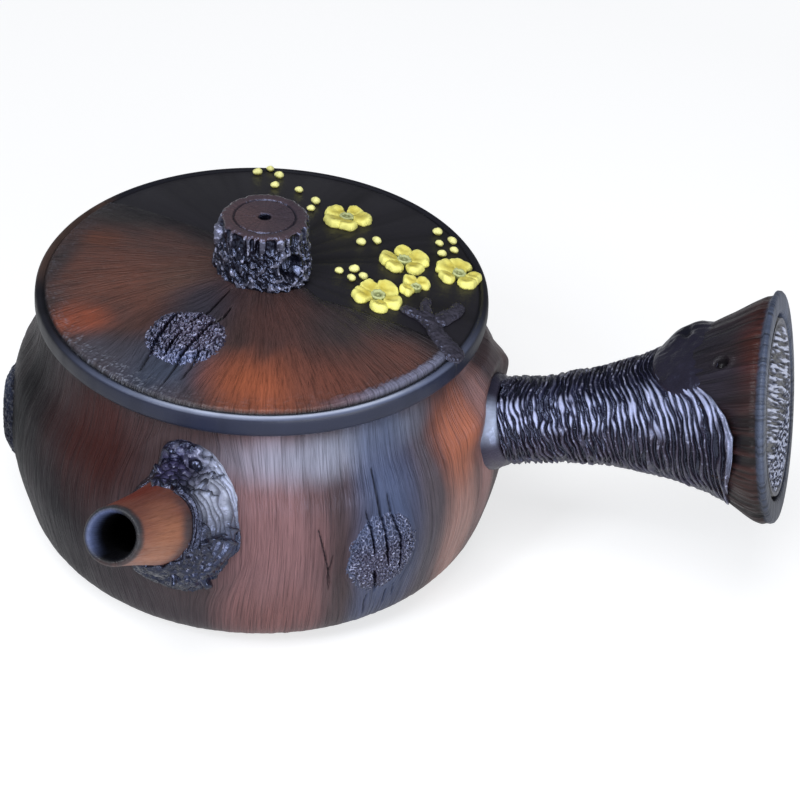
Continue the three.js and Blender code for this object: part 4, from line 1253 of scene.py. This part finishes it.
def knob():
    turn = turns(columns=360)
    waist = (KNOB_RADIUS + KNOB_TOP_RADIUS) / 2
    under = [(KNOB_VENT, -0.3), (KNOB_RADIUS, -0.3)]
    side = [(KNOB_RADIUS + 0.3, 0), (KNOB_RADIUS - 0.1, 3), (waist, 7), (KNOB_TOP_RADIUS + 0.1, 12.2)]
    lip = [(KNOB_TOP_RADIUS - 0.15, 12.75), (KNOB_TOP_RADIUS - 0.6, 13)]
    top = evenly([(KNOB_TOP_RADIUS - 0.9, 13), (KNOB_VENT + 0.3, 12.95)], 0.2)
    vent = [(KNOB_VENT, 12.6), (KNOB_VENT - 0.1, 11), (KNOB_VENT, 4)]
    radius, level, part = lathe(under, evenly(side, 0.24), lip, top, vent)
    is_side = part == 1
    is_top = (part == 2) | (part == 3)
    bare = ringed(radius, turn, level)
    around = ringed(KNOB_RADIUS, turn, level)
    slant = stacked(around[..., 0] + 0.7 * level, around[..., 1] - 0.7 * level, 0.8 * level)
    near, second = cell_distances(around * (0.7, 0.7, 0.5), 81)
    net = smooth(0.02, 0.3, second - near)
    strokes = smooth(-0.3, 0.35, noise(slant * (1, 1, 0.35), 82))
    flutes = noise(around * (0.95, 0.95, 0.1), 83)
    upper = smooth(6.5, 11, level + noise(around * 0.4, 85))
    texture = (0.28 * net + 0.72 * strokes) * (1 - upper) + smooth(-0.3, 0.3, flutes) * upper
    bark = 0.8 * (texture - 0.8) + 0.1 * noise(around * 2.2, 84)
    rings = 0.5 + 0.5 * np.cos(2 * math.pi * (radius + 0.16 * noise(bare * 0.35, 86)) / 0.95)
    groove = smooth(0.36, 0.08, np.abs(radius - 0.72 * KNOB_TOP_RADIUS - 0.12 * noise(bare * 0.4, 87)))
    swirl = 0.07 * rings - 0.4 * groove + 0.1 * noise(bare * (1.2, 1.2, 0), 88)
    swirl = swirl + 0.16 * smooth(7.2, 8.4, radius)
    pit_away = np.hypot(wrapped(turn - KNOB_PIT_TURN) * KNOB_PIT_OUT, level - KNOB_PIT_LEVEL)
    pit = smooth(2.9, 1.7, pit_away)
    pit_rim = smooth(2.4, 3, pit_away) * smooth(4.4, 3.5, pit_away)
    beside_pit = np.abs(turn - 2 * math.pi - KNOB_PIT_TURN)
    ledge = smooth(0.6, 0.0, np.abs(level - 1.2)) * smooth(0.75, 0.35, beside_pit)
    bark = bark * (1 - pit) * (1 - 0.5 * pit_rim) + 0.8 * pit_rim + 0.6 * ledge - 1.9 * pit
    ledge_bulge = 1.1 * smooth(0.9, 0.2, beside_pit) * smooth(6, 1.5, level)
    left_bulge = smooth(0.9, 0.1, np.abs(turn - math.pi)) * smooth(12.5, 8, level)
    grow = np.where(is_side, bark, 0) + is_side * (ledge_bulge + left_bulge)
    grow = grow + np.where(is_side | is_top, 0.3 * flutes * smooth(7.5, 9, radius), 0)
    points = bare + grow[..., None] * ringed(1, turn, 0)
    rise = np.where(is_top, swirl * smooth(9.4, 8.8, radius), 0)
    points[..., 2] += KNOB_BASE + 0.2 * smooth(6, 12, level) + rise
    # Relief gives painted shade in the pit and in the top's groove, and painted highlight on the ledge and
    # around the pit
    side_relief = np.clip(0.9 * texture * (1 - pit) + 0.4 * pit_rim * texture + ledge, 0, 1)
    relief = np.where(is_side, side_relief, 0.42 + 0.03 * rings - 0.37 * groove)
    patches = [(-4, -2, 6, 6, (92, 70, 68), 0.7), (5, 3, 5, 5, (66, 54, 60), 0.7)]
    top_tint = painted(bare[..., 0], bare[..., 1], (78, 63, 66), patches, layered(bare * 0.2, 2, 89))
    tint = np.where(is_top[..., None], top_tint, linear((15, 14, 21)))
    piece = shell("knob_stump", points, tint, around * (1, 1, 0.6), relief, looped=True)
    stub = knob_stub(direction=math.radians(-164), level=8.1, size=2.5, reach=1.4, seed=91)
    whole = joined("knob_stump", [piece, stub])
    dress(whole, "lid", "bark_clay", BARK, "lid_knob", "knob_stub_left", "knob_stub_right")


def knob_stub(direction, level, size, reach, seed):
    """A short stub of a branch on the knob's side, with a hollow in its end that its relief darkens as
    painted shade.
    """
    turn = turns(columns=72)
    outline = [
        (0, -2.5), (1, -2.5), (1.05, -0.5), (1, 0.4), (0.85, 0.85), (0.62, 1), (0.42, 0.85), (0.25, 0.5),
        (0, 0.35),
    ]
    share, out, _ = lathe(evenly(outline, 0.14))
    wobble = 1 + 0.1 * noise(ringed(1, turn, 0) * 2, seed)
    x = size * share * np.cos(turn) * wobble
    y = size * share * np.sin(turn) * wobble
    ahead = np.array([math.cos(direction), math.sin(direction), 0])
    side = np.array([-math.sin(direction), math.cos(direction), 0])
    base = np.array([0, 0, KNOB_BASE + level]) + ahead * (KNOB_RADIUS - 0.6)
    bump = 0.15 * noise(stacked(x, y, out) * 1.3, seed + 1)
    points = base + (out * reach + bump)[..., None] * ahead + x[..., None] * side
    points[..., 2] += y
    return shell("stub", points, linear((26, 24, 34)), stacked(x, y, 0), smooth(0.3, 0.7, share))


# Blossoms, buds and their branch

# Blossoms: the middle, the radius, the first petal's turn in degrees and how many petals are open
BLOSSOMS = [
    (11.4, 28.5, 5.8, 10, 5),
    (29.1, 15.7, 5.8, 40, 5),
    (42, 17.1, 5.5, 20, 5),
    (27.6, -1.4, 5.8, 65, 5),
    (34.6, 6, 4.1, 62, 3),
]
# Buds: the middle of each
BUDS = [
    (-16.1, 45), (-13.9, 48.1), (-10.5, 44.8), (-9.6, 38.6), (-3.3, 38.1), (2.3, 33.5), (2.4, 29.4),
    (18, 18.7), (21.1, 21), (16.9, 4.3), (19.9, 6.5), (20.3, 2.6), (22.6, 4.5), (32.8, 33.6),
    (34.6, 28.2), (37, 31.2), (36.4, 23.8), (38.5, 27.2),
]
# Lengths of the branch, as half a width and a path
BRANCHES = [
    (2.4, [(49.4, -15.6), (47.6, -12), (45, -9.8), (42.6, -7), (41, -3.8)]),
    (1.6, [(42.6, -6.8), (39.2, -4.3), (35.8, -3.4), (32.8, -2.6)]),
    (1.8, [(41.8, -5), (43.6, -0.9), (45, 2), (45.3, 6)]),
    (1.4, [(41.2, -4.8), (39, -1.6), (38.2, 1.2), (38.4, 3.8)]),
]

# The tint of glazed pieces, whose colour comes from their material
GLAZED = np.ones(3)


def petal(middle_x, middle_y, heading, radius, seed):
    """One thick rounded petal, which leans up towards its outer edge."""
    turn = turns(columns=44)
    share = np.concatenate([np.linspace(0, 0.98, 4), np.linspace(1, 0, 16)])[:, None]
    top = np.arange(len(share))[:, None] >= 4
    ring = ringed(1, turn, 0)
    size_chance, lean_chance = noise(np.array([[0.37 * seed, 0.5, 0.5], [0.5, 0.41 * seed, 0.5]]), 3)
    wobble = 1 + 0.19 * noise(ring * 1.3, seed) + 0.07 * noise(ring * 3.5, seed + 1)
    size = 1 + 0.3 * size_chance
    out = radius * (0.6 + 0.42 * size * share * np.cos(turn) * wobble)
    side = radius * 0.43 * size * share * np.sin(turn) * wobble * (1 + 0.2 * np.cos(turn))
    x = middle_x + out * math.cos(heading) - side * math.sin(heading)
    y = middle_y + out * math.sin(heading) + side * math.cos(heading)
    flat = stacked(x, y, 0)
    dome = np.sqrt(np.clip(1 - share**4, 0, 1))
    cup = np.exp(-(((out / radius - 0.6) / 0.22) ** 2) - (side / radius / 0.2) ** 2)
    lean = 0.4 + 0.5 * smooth(0.15, 0.95, out / radius) + 0.9 * lean_chance * side / radius
    dent = 0.12 * noise(flat * 0.6, seed + 2)
    lift = np.where(top, 0.1 + 1.8 * dome * (lean - 0.22 * cup + dent), -0.3)
    edge = smooth(0.45, 0.95, share)
    # Painted highlight on the petal's rim and outer part, painted shade towards the blossom's middle
    relief = np.where(top, 0.42 + 0.4 * edge + 0.7 * (out / radius - 0.6), 0.3)
    return shell("petal", on_dome(x, y, lift), GLAZED, flat, relief)


def blossom_centre(name, middle_x, middle_y, radius, seed):
    """The small sunken cup in the middle of a blossom."""
    turn = turns(columns=40)
    outline = [
        (0, -0.2), (1, -0.2), (1.02, 0.4), (0.9, 0.6), (0.7, 0.55), (0.5, 0.35), (0.3, 0.3), (0.15, 0.42),
        (0, 0.45),
    ]
    share, up, _ = lathe(evenly(outline, 0.12))
    wave = 1 + 0.16 * noise(ringed(1, turn, 0) * 2.4, seed)
    x = middle_x + radius * 0.29 * share * np.cos(turn) * wave
    y = middle_y + radius * 0.29 * share * np.sin(turn) * wave
    # Relief gives the cup's floor a painted shade and its rim a painted highlight
    return shell(name, on_dome(x, y, 1.7 * up * wave), GLAZED, stacked(x, y, 0), smooth(0.2, 0.6, up))


def blossoms():
    for number, (x, y, radius, first, count) in enumerate(BLOSSOMS, 1):
        step = 72 if count == 5 else 80
        jitter = 10 * np.sin(number * 1.7 + 2.3 * np.arange(count))
        headings = np.radians(first + step * np.arange(count) + jitter)
        pieces = [petal(x, y, heading, radius, 100 * number + 7 * k) for k, heading in enumerate(headings)]
        flower = joined(f"blossom_{number}_petals", pieces)
        dress(flower, "lid", "yellow_glaze", YELLOW, f"blossom_{number}")
        centre = blossom_centre(f"blossom_{number}_cup", x, y, radius, 200 + number)
        dress(centre, "lid", "green_glaze", GREEN, f"blossom_centre_{number}")


def buds():
    turn = turns(columns=24)
    outline = [
        (0, -0.3), (0.7, -0.3), (0.98, 0.2), (1, 0.5), (0.85, 0.9), (0.55, 1.2), (0.25, 1.4), (0, 1.48),
    ]
    share, up, _ = lathe(evenly(outline, 0.14))
    for number, (middle_x, middle_y) in enumerate(BUDS, 1):
        size = 0.92 + 0.1 * math.sin(number * 2.4)
        heading = math.radians(180 + 35 * math.sin(number * 1.9))
        tip = 1 + 0.5 * smooth(0.55, 1, np.cos(turn - heading))
        x = middle_x + size * share * np.cos(turn) * tip
        y = middle_y + size * share * np.sin(turn) * tip
        name = f"bud_{number:02d}"
        points = on_dome(x, y, size * up)
        # Relief gives each bud a painted shade at its foot and a painted highlight on its top
        piece = shell(f"{name}_glazed", points, GLAZED, stacked(x, y, 0), smooth(-0.2, 0.6, up))
        dress(piece, "lid", "bud_glaze", BUD, name)


def branch_length(number, half_width, path):
    """One length of rough branch, lying on the lid."""
    line = evenly(spline(path, 60), 0.25)
    ahead = np.gradient(line, axis=0)
    ahead /= np.linalg.norm(ahead, axis=1)[:, None]
    side = np.stack([-ahead[:, 1], ahead[:, 0]], axis=1)
    turn = turns(columns=60)
    share = np.linspace(0, 1, len(line))[:, None]
    taper = (1.25 - 0.5 * share) * smooth(-0.12, 0.22, share) * smooth(1.02, 0.85, share)
    out = half_width * taper * np.cos(turn)
    lift = np.where(np.sin(turn) > 0, 1.1, 0.5) * np.sin(turn) * np.clip(taper, 0, 1)
    x = line[:, :1] - side[:, :1] * out
    y = line[:, 1:] - side[:, 1:] * out
    core = stacked(x, y, lift)
    maze = worms(core * 1.3, 140 + number)
    upper = smooth(-0.2, 0.3, np.sin(turn))
    rough = 0.24 * maze + 0.16 * noise(core * 3, 150 + number) - 0.1
    points = swollen(on_dome(x, y, lift), rough * upper, False)
    # Relief gives painted shade on the underside and in the grooves, and painted highlight on the ridges
    return shell("length", points, linear((58, 55, 64)), core, 0.28 + 0.5 * maze * upper)


def branch():
    pieces = [branch_length(k, half_width, path) for k, (half_width, path) in enumerate(BRANCHES)]
    whole = joined("branch_bark", pieces)
    dress(whole, "lid", "bark_clay", GLOSS_BLACK, "blossom_branch")


# Pieces of the CAD model that stay as they are

def plain_pieces():
    for name in ("lid_flange", "spout_strainer"):
        cover(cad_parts[name], INNER)


# Camera, floor and light

def facing(place, back):
    """The matrix of a camera or lamp at a place, with its back that way."""
    return Matrix.Translation(place) @ back.to_track_quat("Z", "Y").to_matrix().to_4x4()


def add_camera():
    data = bpy.data.cameras.new("camera")
    data.lens = CAMERA_LENS
    data.sensor_width = 36
    data.clip_start = 0.01
    camera = placed("camera", data)
    level = math.cos(CAMERA_TILT)
    back = Vector((math.sin(CAMERA_TURN) * level, -math.cos(CAMERA_TURN) * level, math.sin(CAMERA_TILT)))
    place = (Vector(CAMERA_TARGET) + CAMERA_DISTANCE * back) * MM
    camera.matrix_world = facing(place, back) @ Matrix.Rotation(CAMERA_ROLL, 4, "Z")
    bpy.context.scene.camera = camera


def background_share(tree):
    """1 for the camera and for glass, less for reflections in clay, and 0 for light on the object."""
    path = node(tree, "ShaderNodeLightPath").outputs
    mirrored = maths(tree, "MULTIPLY", path["Is Glossy Ray"], 0.45)
    seen = maths(tree, "MAXIMUM", path["Is Camera Ray"], mirrored)
    return maths(tree, "MAXIMUM", seen, path["Is Transmission Ray"])


def add_floor():
    """Pale paper: grey where the lamps light it, with a glow that only the camera and reflections see."""
    reach = FLOOR_REACH * MM
    corners = [(-reach, -reach, 0), (reach, -reach, 0), (reach, reach, 0), (-reach, reach, 0)]
    mesh = bpy.data.meshes.new("floor")
    mesh.from_pydata(corners, [], [(0, 1, 2, 3)])
    floor = placed("floor", mesh)
    material, tree = new_material("floor_paper")
    shader = node(tree, "ShaderNodeBsdfDiffuse", {"Color": (0.5, 0.5, 0.5, 1)})
    place = node(tree, "ShaderNodeTexCoord").outputs["Object"]
    away = node(tree, "ShaderNodeVectorMath", {0: place}, operation="LENGTH").outputs["Value"]
    strength = maths(tree, "MULTIPLY", background_share(tree), ranged(tree, away, 0.3, 1.2, 0.66, 1.0))
    glow = node(tree, "ShaderNodeEmission", {"Strength": strength})
    both = node(tree, "ShaderNodeAddShader", {0: shader.outputs[0], 1: glow.outputs[0]})
    node(tree, "ShaderNodeOutputMaterial", {"Surface": both.outputs[0]})
    mesh.materials.append(material)


def add_world():
    world = bpy.data.worlds.new("studio")
    world.use_nodes = True
    tree = world.node_tree
    tree.nodes.clear()
    colour = (*linear((236, 240, 250)), 1)
    background = node(tree, "ShaderNodeBackground", {"Color": colour, "Strength": 0.2})
    node(tree, "ShaderNodeOutputWorld", {"Surface": background.outputs[0]})
    bpy.context.scene.world = world


def add_lamp(name, turn, rise, width, height, power, colour):
    """A soft box that points at the object, from a direction in degrees. Its power is in watts."""
    data = bpy.data.lights.new(name, "AREA")
    data.shape = "RECTANGLE"
    data.size = width * MM
    data.size_y = height * MM
    data.energy = power
    data.color = colour
    lamp = placed(name, data)
    turn, rise = math.radians(turn), math.radians(rise)
    back = Vector((math.cos(turn) * math.cos(rise), math.sin(turn) * math.cos(rise), math.sin(rise)))
    lamp.matrix_world = facing((Vector(LAMP_TARGET) + LAMP_DISTANCE * back) * MM, back)


def add_lights():
    add_lamp("key", turn=-42, rise=11, width=800, height=280, power=5.4, colour=(0.9, 0.94, 1))
    add_lamp("top", turn=-92, rise=62, width=500, height=400, power=4, colour=(0.97, 0.98, 1))
    add_lamp("left", turn=-117, rise=40, width=200, height=280, power=3, colour=(0.88, 0.93, 1))
    bpy.context.scene.view_settings.view_transform = "Standard"


add_camera()
add_floor()
add_world()
add_lights()
pot_body()
body_knots()
spout_ring()
spout()
handle_barrel()
bark_wrap()
root_collar()
handle_knot()
end_disc()
lid_plate()
lid_knot()
knob()
blossoms()
buds()
branch()
plain_pieces()
